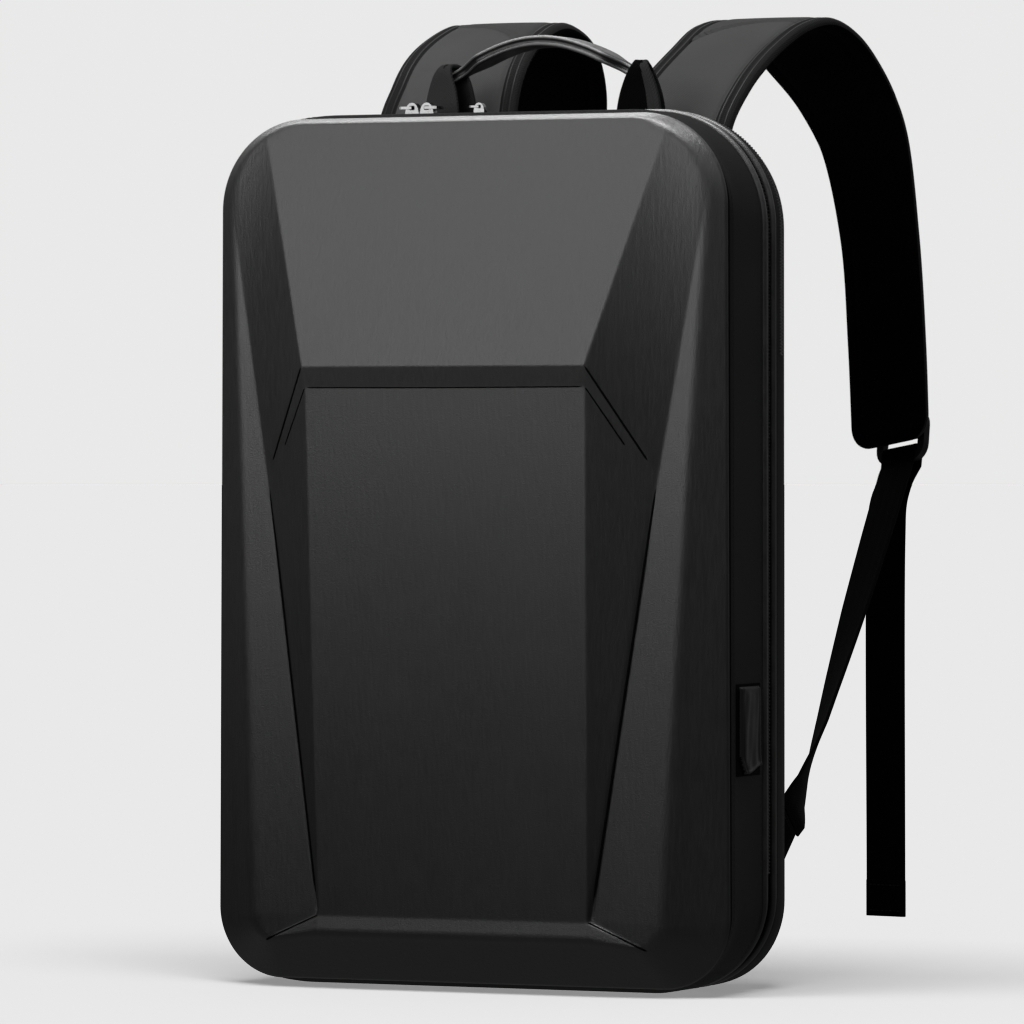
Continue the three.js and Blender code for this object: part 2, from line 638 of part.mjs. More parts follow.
function webbing() {
  const { width, thickness, chamfer, clear } = WEBBING;
  const { steps, lead: turnLead, twistSteps } = WEBBING_TURN;
  const tabAcross = new THREE.Vector3().subVectors(tabUpper, tabTip).normalize();
  const tabFace = new THREE.Vector3(tabOut.y, -tabOut.x, 0);
  const away = new THREE.Vector3().crossVectors(tabAcross, tabFace).normalize();
  away.multiplyScalar(Math.sign(away.z));
  const start = tabUpper.clone().lerp(tabTip, TAB_SEAM.share).addScaledVector(away, GAP);
  const lead = start.clone().addScaledVector(away, TAB_SEAM.lead);
  const bar = LOCK_SLOTS[1].low;
  const reach = LOCK.thickness / 2 + clear + thickness / 2;
  const beforeTurn = inLock(0, -reach, bar - turnLead);
  const stops = [{ point: start, across: tabAcross, width }];
  const route = [{ along: 0, sag: 0, twist: 0 }, ...WEBBING_ROUTE, { along: 1, sag: 0, twist: 1 }];
  for (let i = 0; i < (route.length - 1) * twistSteps; i += 1) {
    const from = route[Math.floor(i / twistSteps)];
    const to = route[Math.floor(i / twistSteps) + 1];
    const share = (i % twistSteps) / twistSteps;
    const sag = lerp(from.sag, to.sag, share);
    const point = lead.clone().lerp(beforeTurn, lerp(from.along, to.along, share));
    point.y += sag;
    point.z -= sag;
    const twist = lerp(from.twist, to.twist, share);
    stops.push({ point, across: tabAcross.clone().lerp(lockAcross, twist), width });
  }
  stops.push({ point: beforeTurn, across: lockAcross, width });
  for (let i = 0; i <= steps; i += 1) {
    const angle = Math.PI * (1 - i / steps);
    const point = inLock(0, reach * Math.cos(angle), bar + reach * Math.sin(angle));
    stops.push({ point, across: lockAcross, width });
  }
  stops.push({ point: inLock(0, reach, bar - TAIL_LEAD), across: lockAcross, width });
  const tailAcross = turned(TAIL_TURN);
  for (const { x, depth, z, turned: share } of TAIL) {
    stops.push({ point: at(x, depth, z), across: lockAcross.clone().lerp(tailAcross, share), width });
  }
  return band(stops, thickness, chamfer);
}

// Zip sliders and their pulls

function slider() {
  const { length, width, height, base, eyeLow, eyeHigh, eyeHalf } = SLIDER;
  const half = length / 2;
  const shape = new THREE.Shape();
  shape.moveTo(-half, 0);
  shape.lineTo(half, 0);
  shape.lineTo(half, base);
  shape.quadraticCurveTo(half * 0.8, height, 0, height);
  shape.quadraticCurveTo(-half * 0.8, height, -half, base);
  shape.holes.push(rectangle(-eyeHalf, eyeHalf, eyeLow, eyeHigh, 0.6));
  return upright(shape, width, 4);
}

// Pull tab drawn flat, turning on its pin at the origin and lying towards +X
function pull() {
  const { length, width, arm, thickness, eye, pin } = PULL;
  const half = width / 2;
  const shape = new THREE.Shape();
  shape.moveTo(-pin, -half);
  shape.lineTo(length - 2, -half);
  shape.quadraticCurveTo(length, -half, length, 2 - half);
  shape.lineTo(length, half - 2);
  shape.quadraticCurveTo(length, half, length - 2, half);
  shape.lineTo(-pin, half);
  shape.holes.push(rectangle(pin, eye, arm - half, half - arm, 0.3));
  const flat = { depth: thickness, bevelEnabled: false, curveSegments: 3 };
  return new THREE.ExtrudeGeometry(shape, flat).translate(0, 0, -thickness / 2);
}

function portFlap() {
  const { depth, width, bottom, height, thickness, radius, bevel } = FLAP;
  const shape = rectangle(bevel, width - bevel, bevel, height - bevel, radius);
  const geometry = new THREE.ExtrudeGeometry(shape, {
    depth: thickness - 2 * bevel,
    bevelThickness: bevel,
    bevelSize: bevel,
    bevelSegments: 1,
    curveSegments: 3,
  });
  geometry.translate(0, 0, bevel);
  const across = new THREE.Vector3(0, 1, 0);
  const up = new THREE.Vector3(0, 0, 1);
  const out = new THREE.Vector3(1, 0, 0);
  const place = new THREE.Matrix4().makeBasis(across, up, out);
  place.setPosition(at(halfAt(GIRTH, bottom) + GAP, depth, bottom));
  return geometry.applyMatrix4(place);
}

// The assembly

const backpack = new THREE.Group();

function piece(name, geometry, material, parent = backpack) {
  const mesh = new THREE.Mesh(geometry, new THREE.MeshStandardMaterial(MATERIALS[material]));
  mesh.name = name;
  parent.add(mesh);
  return mesh;
}

function pair(name, geometry, material) {
  piece(`${name}_right`, geometry, material);
  piece(`${name}_left`, mirrored(geometry), material);
}

piece('front_shell', frontShell(), 'shell');
piece('front_gusset', frontGusset(), 'fabric');
piece('front_piping', piping(FRONT_PIPING), 'piping');
piece('zip_tape', zipTape(), 'fabric');
piece('main_zip_coil', zipCoil(inset(GIRTH, ZIP_TAPE.recess - GAP), MAIN_COIL), 'zip');
piece('rear_piping', piping(REAR_PIPING), 'piping');
piece('rear_gusset', rearGusset(), 'fabric');
piece('rear_zip_coil', zipCoil(inset(GIRTH, -GAP), REAR_COIL), 'zip');
piece('back_panel', backPanel(), 'fabric');
piece('handle_grip', handleGrip(), 'strap');
piece('handle_loop_right', handleLoop().translate(HANDLE.x, 0, 0), 'fabric');
piece('handle_loop_left', mirrored(handleLoop()).translate(HANDLE.x, 0, 0), 'fabric');
piece('strap_pad_right', strapPad(STRAP_RISE.right), 'strap');
piece('strap_pad_left', mirrored(strapPad(STRAP_RISE.left)), 'strap');
pair('buckle_loop', buckleLoop(), 'webbing');
pair('ladder_lock', mergeVertices(ladderLock()), 'buckle');
pair('webbing', webbing(), 'webbing');
pair('anchor_tab', anchorTab(), 'fabric');
piece('port_flap', portFlap(), 'fabric');

for (const { name, x, depth, seat, size, side } of SLIDERS) {
  const place = new THREE.Group();
  place.position.copy(at(x, depth, seat + GAP));
  backpack.add(place);
  piece(`zip_slider_${name}`, slider().scale(size, size, size), 'metal', place);
  const tab = piece(`zip_pull_${name}`, pull().scale(size, size, size), 'metal', place);
  tab.position.z = (size * (SLIDER.eyeLow + SLIDER.eyeHigh)) / 2;
  tab.rotation.z = side === 1 ? 0 : Math.PI;
}

export default backpack;
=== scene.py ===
"""Hard-shell laptop backpack: the looks of every piece, with the floor, the light and the camera.

Shapes are worked out in millimetres as x, depth and z, where depth runs back from the shell's seam.
"""

import json
import math

import bmesh
import bpy
import numpy as np
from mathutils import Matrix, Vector

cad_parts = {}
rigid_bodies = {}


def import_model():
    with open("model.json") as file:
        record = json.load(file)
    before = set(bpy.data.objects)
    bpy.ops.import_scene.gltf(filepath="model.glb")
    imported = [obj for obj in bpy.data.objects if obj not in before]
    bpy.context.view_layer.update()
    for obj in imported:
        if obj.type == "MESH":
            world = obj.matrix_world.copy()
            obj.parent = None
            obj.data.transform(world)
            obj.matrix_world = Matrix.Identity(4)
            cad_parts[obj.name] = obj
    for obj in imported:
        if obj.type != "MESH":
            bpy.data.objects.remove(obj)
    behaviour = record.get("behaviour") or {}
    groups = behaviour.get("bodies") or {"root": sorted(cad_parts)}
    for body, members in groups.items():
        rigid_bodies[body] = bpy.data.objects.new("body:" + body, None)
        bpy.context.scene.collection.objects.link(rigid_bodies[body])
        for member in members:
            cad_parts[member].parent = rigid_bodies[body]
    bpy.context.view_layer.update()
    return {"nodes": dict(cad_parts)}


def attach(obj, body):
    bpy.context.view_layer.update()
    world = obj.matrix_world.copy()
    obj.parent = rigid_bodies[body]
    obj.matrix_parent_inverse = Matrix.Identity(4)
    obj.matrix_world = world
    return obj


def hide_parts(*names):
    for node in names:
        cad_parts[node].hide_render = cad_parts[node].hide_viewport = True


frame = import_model()

# Sizes, in millimetres

ORIGIN_DEPTH = 23.5  # depth of the frame's origin behind the shell's seam
GAP = 0.3  # clearance between pieces
FABRIC = 2.5  # thickness of the cloth bands

# Outlines seen from the front: at the shell's seam, and round the zip
SEAM = dict(half=145, flare=1.5, top=455, bottom=3, top_radius=48, bottom_radius=37)
GIRTH = dict(half=145.5, flare=0.3, top=457.5, bottom=0, top_radius=60, bottom_radius=48)
CORNER, SIDE, LEVEL = 24, 110, 70  # points round a corner, up a side, along the top or the base
CORNER_LOSS = 0.7  # share of an inset that comes off a corner's radius

SHELL_LIP = 2.5  # how far the shell's edge reaches back past the seam
SHELL_WALL = 2.5
SHELL_EDGE = [(0, 0), (0.15, 0.5), (1.2, 0.9), (1.2, SHELL_LIP), (SHELL_WALL, SHELL_LIP)]  # inwards, back
SHELL_MIDDLE = 230  # height towards which the shell's edge turns in
# The shell's sloping edge: how far it has drawn in from the seam where it stands so far proud
FLANK_PROUD = [0, 1.5, 12, 23, 40]
FLANK = dict(
    side=[0, 0.7, 16.2, 31, 54],
    top=[0, 0.4, 3.4, 9, 22],
    bottom=[0, 0.6, 11, 22, 38],
    top_radius=[48, 47.5, 36, 24, 8],
    bottom_radius=[37, 36.5, 24, 12, 4],
)
FLANK_LIMIT, FLANK_HALVINGS, FLANK_LEAST_RADIUS = 60, 22, 0.5
# Corners of the relief's right half: x, z, and how far it stands proud of the seam
RELIEF = dict(
    panel_top=(113, 441.5, 10.7), panel_foot=(80.6, 324.5, 37.3),
    field_top=(79.8, 313.5, 34.4), field_foot=(77, 38, 25), ledge_foot=(77, 26, 27.2),
    fold_top=(137.7, 420, 6.7), fold_join=(112, 268, 13.2), fold_foot=(78.4, 38, 22.4),
    crease_end=(109.5, 24, 22.5),
)
RELIEF_HIGH, RELIEF_LOW, RELIEF_REACH = 475, -30, 180  # how far the facets run on past the shell
RULE_STEPS = 24  # steps along the facets that twist
EDGE_SLOPE, FOLD_SLOPE = 0.277, 0.169  # how fast the panel's edge and the fold run out above their tops
# Painted shade in the relief's creases, as near-black strings: from, to, half their width
CREASE_SHADES = [
    ("panel_foot", (107.5, 275), 0.6), ("field_top", (97.4, 283), 0.5), ((111, 264), (79.4, 48), 0.6),
    ("field_foot", "crease_end", 0.6), ((-5, 313.2), "field_top", 0.4),
]
CREASE = dict(steps=90, sides=10, sunk=0.25, flat=0.7, taper=25, tip=0.04)
SOFTENING = 0.7  # half the width over which the mould rounds its edges
RUN_OUT = dict(most=1.9, share=1.1)  # height over which the relief runs out into the sloping edge
GROOVE = dict(width=0.9, depth=0.9, inside=0.5, low=42, start=4, high=266, fade=60)  # beside each fold
ROW_SPANS = [(42, 262, 2.5), (262, 330, 1.4), (330, 407, 2.5)]  # the shell's rows: from, to, spacing
ROW_CORNER, ROW_LEAST = 30, 0.09  # rows round a corner, least spacing
COLUMNS = dict(inner=26, facet=18, strip=20)
CLOSE = (0.7, 1.4, 2.2)  # distances of the close rows and columns from a line of the relief

SWELL_DEPTH = 17  # depth over which the gusset swells from the seam to the girth
FRONT_GUSSET = (2.8, 45.6)
FRONT_STITCHES, REAR_STITCHES = (6.2, 42.4), (64.6, 75.5)
GUSSET_EDGE = [(0.5, -FABRIC), (0, -1.1), (0.3, -0.35)]  # turned edge: in from the band's end, and out
FRONT_PIPING = dict(depth=47.9, radius=2, stand=1.3)
PIPING_JOINT = dict(x=24, width=1.1, depth=0.9, below_top=6)
ZIP_TAPE = dict(front=50.2, back=58.2, recess=2.2, ripple=0.12, ripples=9)
TAPE_EDGE = [(0, -2), (0, -0.3), (0.3, 0)]
TOOTH = dict(sunk=0.12, length=0.62, radius=0.3, sides=8, offset=0.16, stretch=1.3, drop=0.75)
TOOTH_CORD = dict(offset=0.43, lift=0.05, radius=0.42, sides=8)
MAIN_COIL = dict(depth=54.2, width=6, height=1.2, foot=60, pitch=1.9)
REAR_PIPING = dict(depth=60.2, radius=1.7, stand=1)
# The rear gusset: depth, how far in from the girth, how far up from the base
REAR_GUSSET = [(62.2, 0, 0), (72, 0.5, 0), (80, 2.5, 0), (88, 6.5, 0), (94, 11.5, 1.2), (98, 17.5, 4.5)]
REAR_COIL = dict(depth=70, width=5, height=1.2, foot=330, pitch=1.7)
REAR_COIL_INSET = 1.1
BACK_PANEL = dict(front=98.3, edge=100, face=105.6, inset=17, rise=4, crown=4.6, welt=1.6, tuck=1.2)
BACK_CHANNEL = dict(x=(12, 20), z=352, band=(6, 14), ends=(12, 24), share=0.72)
BACK_STITCHES = dict(inset=6.5, lift=0.75)

HANDLE = dict(x=2, depth=89)
GRIP = dict(half=60, ends=475.5, crest=498, thickness=6, middle=20, end=6, narrow_from=0.58, narrow_to=0.8)
LOOP = dict(x=55.5, base=25, tip=7.5, flare=2.5, thickness=2, turn=15, top=485.6, waist=6.3, foot=8, bend=3)
LOOP_STEPS = 70
LOOP_PAINTED_SHADE = 0.5  # share of its half width beyond which the right loop shows its grey webbing; inside it the loop is near-black as painted shade

PAD_END_RADIUS = 13
# Stops of a shoulder strap: x, depth, z, width and turn in degrees
STRAP_ROOT = [(62, 110, 372, 74, 0), (62.5, 110, 405, 74, 0), (63, 110.5, 430, 74, 0)]
STRAP_RISE_RIGHT = [
    (62.8, 116, 450, 70.5, 0), (65.9, 140, 474, 66.3, 0), (69.7, 172, 494.5, 65, 0),
    (73.2, 200, 507.7, 68.6, 0),
]
STRAP_RISE_LEFT = [
    (67.5, 113, 452, 81.5, 0), (68.3, 128, 477.5, 77, 0), (71, 152, 494.5, 74, 0), (74, 196, 510, 70, 0),
]
STRAP_FALL = [
    (78, 228, 511.8, 69.5, 2), (81, 254, 504.8, 72, 6), (85, 275, 491.5, 71.5, 9), (90.9, 296, 472, 67.2, 14),
    (97, 304, 452, 63, 18), (104.5, 309, 400, 60.2, 24), (110.5, 305, 340, 59, 24), (116, 297, 284, 58, 24),
]
STRAP_STEPS = dict(line=340, along=2.2, seam=0.8, end=12, across=17)
STRAP_RISING = slice(20, 150)  # steps of the line where a strap rises to its crest
SEAM_HEIGHTS = (482, 511)  # between which the seam across a strap lies
# Half of a pad's section from the field of its outer face to its edge: distance in from the edge, thickness
PAD_OUTER = [
    (14, 3.75), (11.4, 3.45), (10.4, 3.05), (9.6, 2.45), (9.1, 2.5), (8.6, 3.0), (8, 3.35), (7.2, 3.4),
    (6.5, 3.1), (5.9, 2.75), (5.2, 2.75), (4.6, 3.0), (4, 3.3), (3.3, 3.3), (2.7, 3.0), (1.9, 2.8),
    (1.1, 2.35), (0.5, 1.6), (0.12, 0.8), (0, 0),
]
PAD_INNER = [
    (0.12, 0.8), (0.5, 1.6), (1.1, 2.3), (2.2, 2.9), (4, 3.2), (6.5, 3.3), (8.6, 3.2), (9.3, 2.8), (10, 3.0),
    (11.4, 3.5), (14, 3.8),
]
PAD_FIELD = dict(outer=3.75, outer_crown=0.25, inner=3.8, inner_crown=0.2, tip=4, least=0.12, root=0.02)
BINDING = 9.2  # width of the ribbed tape bound round a strap's edge
BINDING_LAST = 9.7  # distance in from the edge where its outermost row of faces ends
# Rows of faces on the binding's ribs, painted lighter as highlight lines: distances in from the edge
BINDING_RIB_HIGHLIGHTS = ({8, 7.2}, {4, 3.3})
# The seam across a strap drops ever faster inwards, with a tuck on it and a swelling beyond
PAD_SEAM = dict(high=510, drop=21, bow=3.3, fold=0.4)
PAD_TUCK = dict(depth=1.5, width=1.3, swell=0.8, beyond=3.4, swell_width=1.5)

LOCK_PLACE = dict(across=3, back=6.9, rise=3, lean=8)
LOCK_HALF_THICKNESS = 2
LOCK_BAR = -8  # height of the adjuster's bar from its middle
WEBBING = dict(width=25, thickness=1.6, clear=0.4, ridge=0.06)
WEBBING_TURN = dict(steps=16, lead=7)
TAB = dict(thickness=2.4, half=20.5, reach=15.5, x=132.9, depth=95.8, z=79, turn=75)
TAB_SEAM = dict(share=0.6, lead=6)
TAB_STEPS = 16
TAB_EDGE = dict(round=0.1, tuck=0.25, tuck_at=0.14, tuck_width=0.03, least=0.02, sewn=0.58, lift=1.1)
# Way of the webbing from its tab to the adjuster: share of the way, sag and share of the twist
WEBBING_ROUTE = np.array([
    (0, 0, 0), (0.055, 0.6, 0.28), (0.155, 1.2, 0.49), (0.225, 1.5, 0.57), (0.3, 1.3, 0.62),
    (0.4, 1, 0.7), (0.6, 0.6, 0.85), (0.82, 0.3, 0.95), (1, 0, 1),
])
ROUTE_STEPS = 90
TAIL_TURN = 12
TAIL_LEAD = 6.5
# The hanging tail: x, depth, z and share of its turn
TAIL = [(118, 298.3, 262, 0.4), (115, 296.6, 252, 0.7), (113.8, 295.9, 232, 1), (113.8, 295.9, 24.5, 1)]
HEM = dict(top=44, extra=1, above=44.4, fold=(43.9, 43.4, 42.5), below=41, seams=(41.6, 27.5), half=10.5)

FLAP = dict(depth=8.6, width=31.5, bottom=113, height=47.5)
FLAP_GRID = (72, 96)

# Shapes


def smoothstep(value, low, high):
    t = np.clip((value - low) / (high - low), 0, 1)
    return t * t * (3 - 2 * t)


def hump(value, middle, width):
    return np.exp(-(((value - middle) / width) ** 2))


def dome(value):
    """Quarter circle up from nought to one, for rounded ends."""
    return np.sqrt(np.clip(1 - (1 - np.clip(value, 0, 1)) ** 2, 0, 1))


def eased(count):
    """Shares from nought to one that start close together, like the heights round a corner."""
    return 1 - np.cos(np.linspace(0, np.pi / 2, count))


def unit(vectors):
    return vectors / np.linalg.norm(vectors, axis=-1, keepdims=True)


def run_of(points):
    """Distance along a line of points."""
    return np.concatenate([[0], np.cumsum(np.linalg.norm(np.diff(points, axis=0), axis=1))])


def sampled(at, run, rows):
    """Rows of values that go with places along a run, read off at other places."""
    return np.column_stack([np.interp(at, run, column) for column in rows.T])


def weave_of(rows, columns):
    """Weave coordinates of a grid: the distance of each row and of each column."""
    return np.stack(np.broadcast_arrays(rows[:, None], columns), -1)


def rim_of(grid):
    """Points round a grid's edge, in order."""
    return np.concatenate([grid[0], grid[1:, -1], grid[-1, -2::-1], grid[-2:0:-1, 0]])


def tube(line, across, out, radius, sides, flat=1.0):
    """Rings of points round a line; the radius may vary along it."""
    angles = 2 * np.pi * np.arange(sides)[:, None] / sides
    turn = np.cos(angles) * across[:, None] + flat * np.sin(angles) * out[:, None]
    return line[:, None] + np.broadcast_to(radius, len(line))[:, None, None] * turn


def quads(rows, columns, closed=False):
    """Faces of a grid of points numbered row by row; in a closed one each row ends where it starts."""
    row = np.arange(rows - 1)[:, None] * columns
    column = np.arange(columns if closed else columns - 1)
    below, beside = row + columns, (column + 1) % columns
    return np.stack([row + column, row + beside, below + beside, below + column], -1).reshape(-1, 4)


class Shape:
    """Points, faces and weave coordinates of one piece, gathered part by part."""

    def __init__(self):
        self.points, self.faces, self.weave, self.finish = [], [], [], []
        self.count = 0

    def add(self, points, faces, weave=None, finish=0):
        points = np.asarray(points, float).reshape(-1, 3)
        weave = points[:, [0, 2]] if weave is None else np.asarray(weave, float).reshape(-1, 2)
        self.points.append(points)
        self.weave.append(weave)
        self.faces.extend((np.asarray(faces) + self.count).tolist())
        self.finish.append(np.broadcast_to(finish, (len(faces),)))
        self.count += len(points)
        return self

    def add_grid(self, grid, weave=None, finish=0, closed=False):
        return self.add(grid, quads(*grid.shape[:2], closed), weave, finish)

    def add_cap(self, loop, finish=0):
        """Close a loop of points by a fan about its middle."""
        count = len(loop)
        fan = [(i, (i + 1) % count, count) for i in range(count)]
        return self.add(np.concatenate([loop, [loop.mean(0)]]), fan, finish=finish)

    def on_side(self, side):
        """Mirror a shape that is built on the right if it belongs on the left, and name its side."""
        for points in self.points:
            points[:, 0] *= side
        return "right" if side > 0 else "left"


def make(name, shape, materials, nodes, sharp=40):
    """One piece of the bag from a shape, in place of the CAD nodes it covers."""
    points = np.concatenate(shape.points) - (0, ORIGIN_DEPTH, 0)
    weave = np.concatenate(shape.weave)
    mesh = bpy.data.meshes.new(name)
    mesh.from_pydata((points / 1000).tolist(), [], shape.faces)
    layer = mesh.uv_layers.new(name="weave")
    corners = np.empty(len(mesh.loops), int)
    mesh.loops.foreach_get("vertex_index", corners)
    layer.data.foreach_set("uv", weave[corners].ravel())
    for each in materials:
        mesh.materials.append(each)
    mesh.polygons.foreach_set("material_index", np.concatenate(shape.finish).astype(np.int32))
    build = bmesh.new()
    build.from_mesh(mesh)
    bmesh.ops.remove_doubles(build, verts=build.verts, dist=2e-6)
    bmesh.ops.recalc_face_normals(build, faces=build.faces)
    build.to_mesh(mesh)
    build.free()
    mesh.shade_smooth()
    mesh.set_sharp_from_angle(angle=math.radians(sharp))
    piece = bpy.data.objects.new(name, mesh)
    bpy.context.scene.collection.objects.link(piece)
    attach(piece, "bag")
    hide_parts(*nodes)
    return piece


def inset(outline, distance, rise=None):
    return dict(
        half=outline["half"] - distance,
        flare=outline["flare"],
        top=outline["top"] - distance,
        bottom=outline["bottom"] + (distance if rise is None else rise),
        top_radius=outline["top_radius"] - CORNER_LOSS * distance,
        bottom_radius=outline["bottom_radius"] - CORNER_LOSS * distance,
    )


def half_at(outline, z):
    """Half width of an outline at a height, round its corners too."""
    high = outline["top"] - outline["top_radius"]
    low = outline["bottom"] + outline["bottom_radius"]
    foot = outline["half"] + outline["flare"]
    z = np.asarray(z, float)
    straight = outline["half"] + outline["flare"] * np.clip((high - z) / (high - low), 0, 1)
    up = np.clip((z - high) / outline["top_radius"], 0, 1)
    down = np.clip((low - z) / outline["bottom_radius"], 0, 1)
    upper = outline["half"] - outline["top_radius"] * (1 - np.sqrt(1 - up**2))
    lower = foot - outline["bottom_radius"] * (1 - np.sqrt(1 - down**2))
    return np.where(z > high, upper, np.where(z < low, lower, straight))


def ring(outline):
    """Points (x, z) all round an outline from the base's right end, and the way out at each."""
    half, wide = outline["half"], outline["half"] + outline["flare"]
    top, bottom = outline["top"], outline["bottom"]
    high, low = outline["top_radius"], outline["bottom_radius"]
    points, ways = [], []

    def corner(x, z, radius, start):
        angles = np.radians(start + 90 * np.arange(CORNER) / CORNER)
        way = np.column_stack([np.cos(angles), np.sin(angles)])
        points.append(way * radius + (x, z))
        ways.append(way)

    def straight(a, b, count, way):
        shares = np.arange(count)[:, None] / count
        points.append(np.array(a) + (np.array(b) - a) * shares)
        ways.append(np.tile(way, (count, 1)).astype(float))

    corner(wide - low, bottom + low, low, -90)
    straight((wide, bottom + low), (half, top - high), SIDE, (1, 0))
    corner(half - high, top - high, high, 0)
    straight((half - high, top), (high - half, top), LEVEL, (0, 1))
    corner(high - half, top - high, high, 90)
    straight((-half, top - high), (-wide, bottom + low), SIDE, (-1, 0))
    corner(low - wide, bottom + low, low, 180)
    straight((low - wide, bottom), (wide - low, bottom), LEVEL, (0, -1))
    points, ways = np.concatenate(points), np.concatenate(ways)
    return np.vstack([points, points[:1]]), np.vstack([ways, ways[:1]])


def ring_line(outline, depth, out):
    """The line round an outline at a depth and so far out of it, with the way out at each point."""
    points, ways = ring(outline)
    points = points + ways * np.broadcast_to(out, len(points))[:, None]
    line = np.column_stack([points[:, 0], np.full(len(points), depth), points[:, 1]])
    return line, np.column_stack([ways[:, 0], np.zeros(len(ways)), ways[:, 1]])


def hoop(rows):
    """Grid round the bag: each row is an outline, a depth, and how far out of the outline it lies."""
    grid = np.array([ring_line(*row)[0] for row in rows])
    along, across = run_of(grid[len(grid) // 2]), run_of(grid[:, CORNER + SIDE // 2])
    return grid, weave_of(across, along)[..., ::-1]


def over_top(outline, depth, foot, out, pitch):
    """Evenly spaced points from a height up one side, over the top and down, with the way out at each."""
    line, ways = ring_line(outline, depth, out)
    first, last = CORNER, 3 * CORNER + 2 * SIDE + LEVEL
    line, ways = line[first : last + 1], ways[first : last + 1]
    above = line[:, 2] >= foot
    line, ways = line[above], ways[above]
    run = run_of(line)
    even = np.arange(0, run[-1], pitch)
    return sampled(even, run, line), unit(sampled(even, run, ways))


def repeated(shape, block, faces, places, axes, finish=0):
    """Copies of a small block of points, each set at a place in its own axes."""
    copies = places[:, None, :] + np.einsum("nk,mkj->mnj", block, axes)
    index = np.arange(len(places))[:, None, None] * len(block)
    numbered = (np.array(faces)[None] + index).reshape(-1, len(faces[0]))
    shape.add(copies.reshape(-1, 3), numbered, finish=finish)


def bead(length, radius, sides=6):
    """A small rounded rod along x: its points and faces."""
    stations = [(-0.5, 0.35), (-0.36, 0.9), (0, 1), (0.36, 0.9), (0.5, 0.35)]
    angles = 2 * np.pi * np.arange(sides) / sides
    circle = np.column_stack([np.zeros(sides), np.cos(angles), np.sin(angles)]) * radius
    points = [circle * size + (place * length, 0, 0) for place, size in stations]
    return np.concatenate(points), quads(len(stations), sides, closed=True)


STITCH_SPAN = 0.5  # half the stretch of a line that gives a stitch its direction
STITCH_LOWEST = 3  # the base has no stitches


def stitches(shape, line, ways, pitch=3.4, length=2.5, radius=0.3):
    """Stitches in the second material along a line on a surface that faces the given ways."""
    run = run_of(line)
    even = np.arange(pitch / 2, run[-1], pitch)
    even = even[sampled(even, run, line)[:, 2] > STITCH_LOWEST]
    out = unit(sampled(even, run, np.broadcast_to(ways, line.shape)))
    along = unit(sampled(even + STITCH_SPAN, run, line) - sampled(even - STITCH_SPAN, run, line))
    axes = np.stack([along, np.cross(out, along), out], 1)
    repeated(shape, *bead(length, radius), sampled(even, run, line), axes, finish=1)


# Materials


class Finish:
    """A material whose nodes are written in order; add() returns one output of the new node."""

    SOCKETS = dict(
        colour="Base Color", roughness="Roughness", normal="Normal", metallic="Metallic",
        specular="Specular IOR Level",
    )

    def __init__(self, name):
        self.material = bpy.data.materials.new(name)
        self.material.use_nodes = True
        self.tree = self.material.node_tree
        self.shader = self.tree.nodes["Principled BSDF"]

    def plug(self, socket, value):
        if isinstance(value, bpy.types.NodeSocket):
            self.tree.links.new(value, socket)
        else:
            socket.default_value = value

    def add(self, kind, values, output=0, **settings):
        new = self.tree.nodes.new(kind)
        for key, value in settings.items():
            setattr(new, key, value)
        for key, value in values.items():
            self.plug(new.inputs[key], value)
        return new.outputs[output]

    def maths(self, operation, a, b=0.0):
        return self.add("ShaderNodeMath", {0: a, 1: b}, operation=operation)

    def blend(self, a, share_a, b, share_b):
        """Sum of two values, each by its share."""
        return self.maths("ADD", self.maths("MULTIPLY", a, share_a), self.maths("MULTIPLY", b, share_b))

    def threads(self):
        """Place on the cloth in millimetres: along and across."""
        where = self.add("ShaderNodeUVMap", {}, uv_map="weave")
        split = self.add("ShaderNodeSeparateXYZ", {0: where}).node
        return split.outputs[0], split.outputs[1]

    def noise(self, grains, detail):
        """Noise fixed to the object, with so many grains a metre, or so many by axis."""
        where = self.add("ShaderNodeTexCoord", {}, output="Object")
        scale = np.broadcast_to(grains, 3).tolist()
        placed = self.add("ShaderNodeMapping", {"Vector": where, "Scale": scale})
        return self.add("ShaderNodeTexNoise", {"Vector": placed, "Scale": 1.0, "Detail": detail})

    def spread(self, value, low=0.0, high=1.0, start=0.3, end=0.7):
        """Draw a value out over a range; most of a noise lies between the usual start and end."""
        return self.add("ShaderNodeMapRange", {"Value": value, 1: start, 2: end, 3: low, 4: high})

    def wave(self, value, pitch):
        return self.maths("SINE", self.maths("MULTIPLY", value, 2 * math.pi / pitch))

    def mix(self, factor, a, b):
        return self.add("ShaderNodeMix", {0: factor, 6: a, 7: b}, output=2, data_type="RGBA")

    def bump(self, height, strength, distance):
        return self.add("ShaderNodeBump", {"Height": height, "Strength": strength, "Distance": distance})

    def surface(self, **values):
        for key, value in values.items():
            self.plug(self.shader.inputs[self.SOCKETS[key]], value)
        return self.material


def grey(value, tint=(1, 1, 1)):
    return (value * tint[0], value * tint[1], value * tint[2], 1)


def moulded(name, value):
    """Satin moulded sheet with a fine upright grain and a little wear."""
    f = Finish(name)
    streak = f.noise((620, 620, 100), detail=3)
    speck = f.noise(1700, detail=1)
    cloud = f.noise((9, 9, 6), detail=3)
    tone = f.blend(streak, 0.6, cloud, 0.4)
    colour = f.mix(f.spread(tone), grey(value * 0.86), grey(value * 1.16, (1, 0.995, 1.01)))
    normal = f.bump(f.blend(streak, 0.7, speck, 0.5), 0.4, 0.0005)
    return f.surface(colour=colour, roughness=f.spread(tone, 0.36, 0.48), normal=normal, specular=0.5)


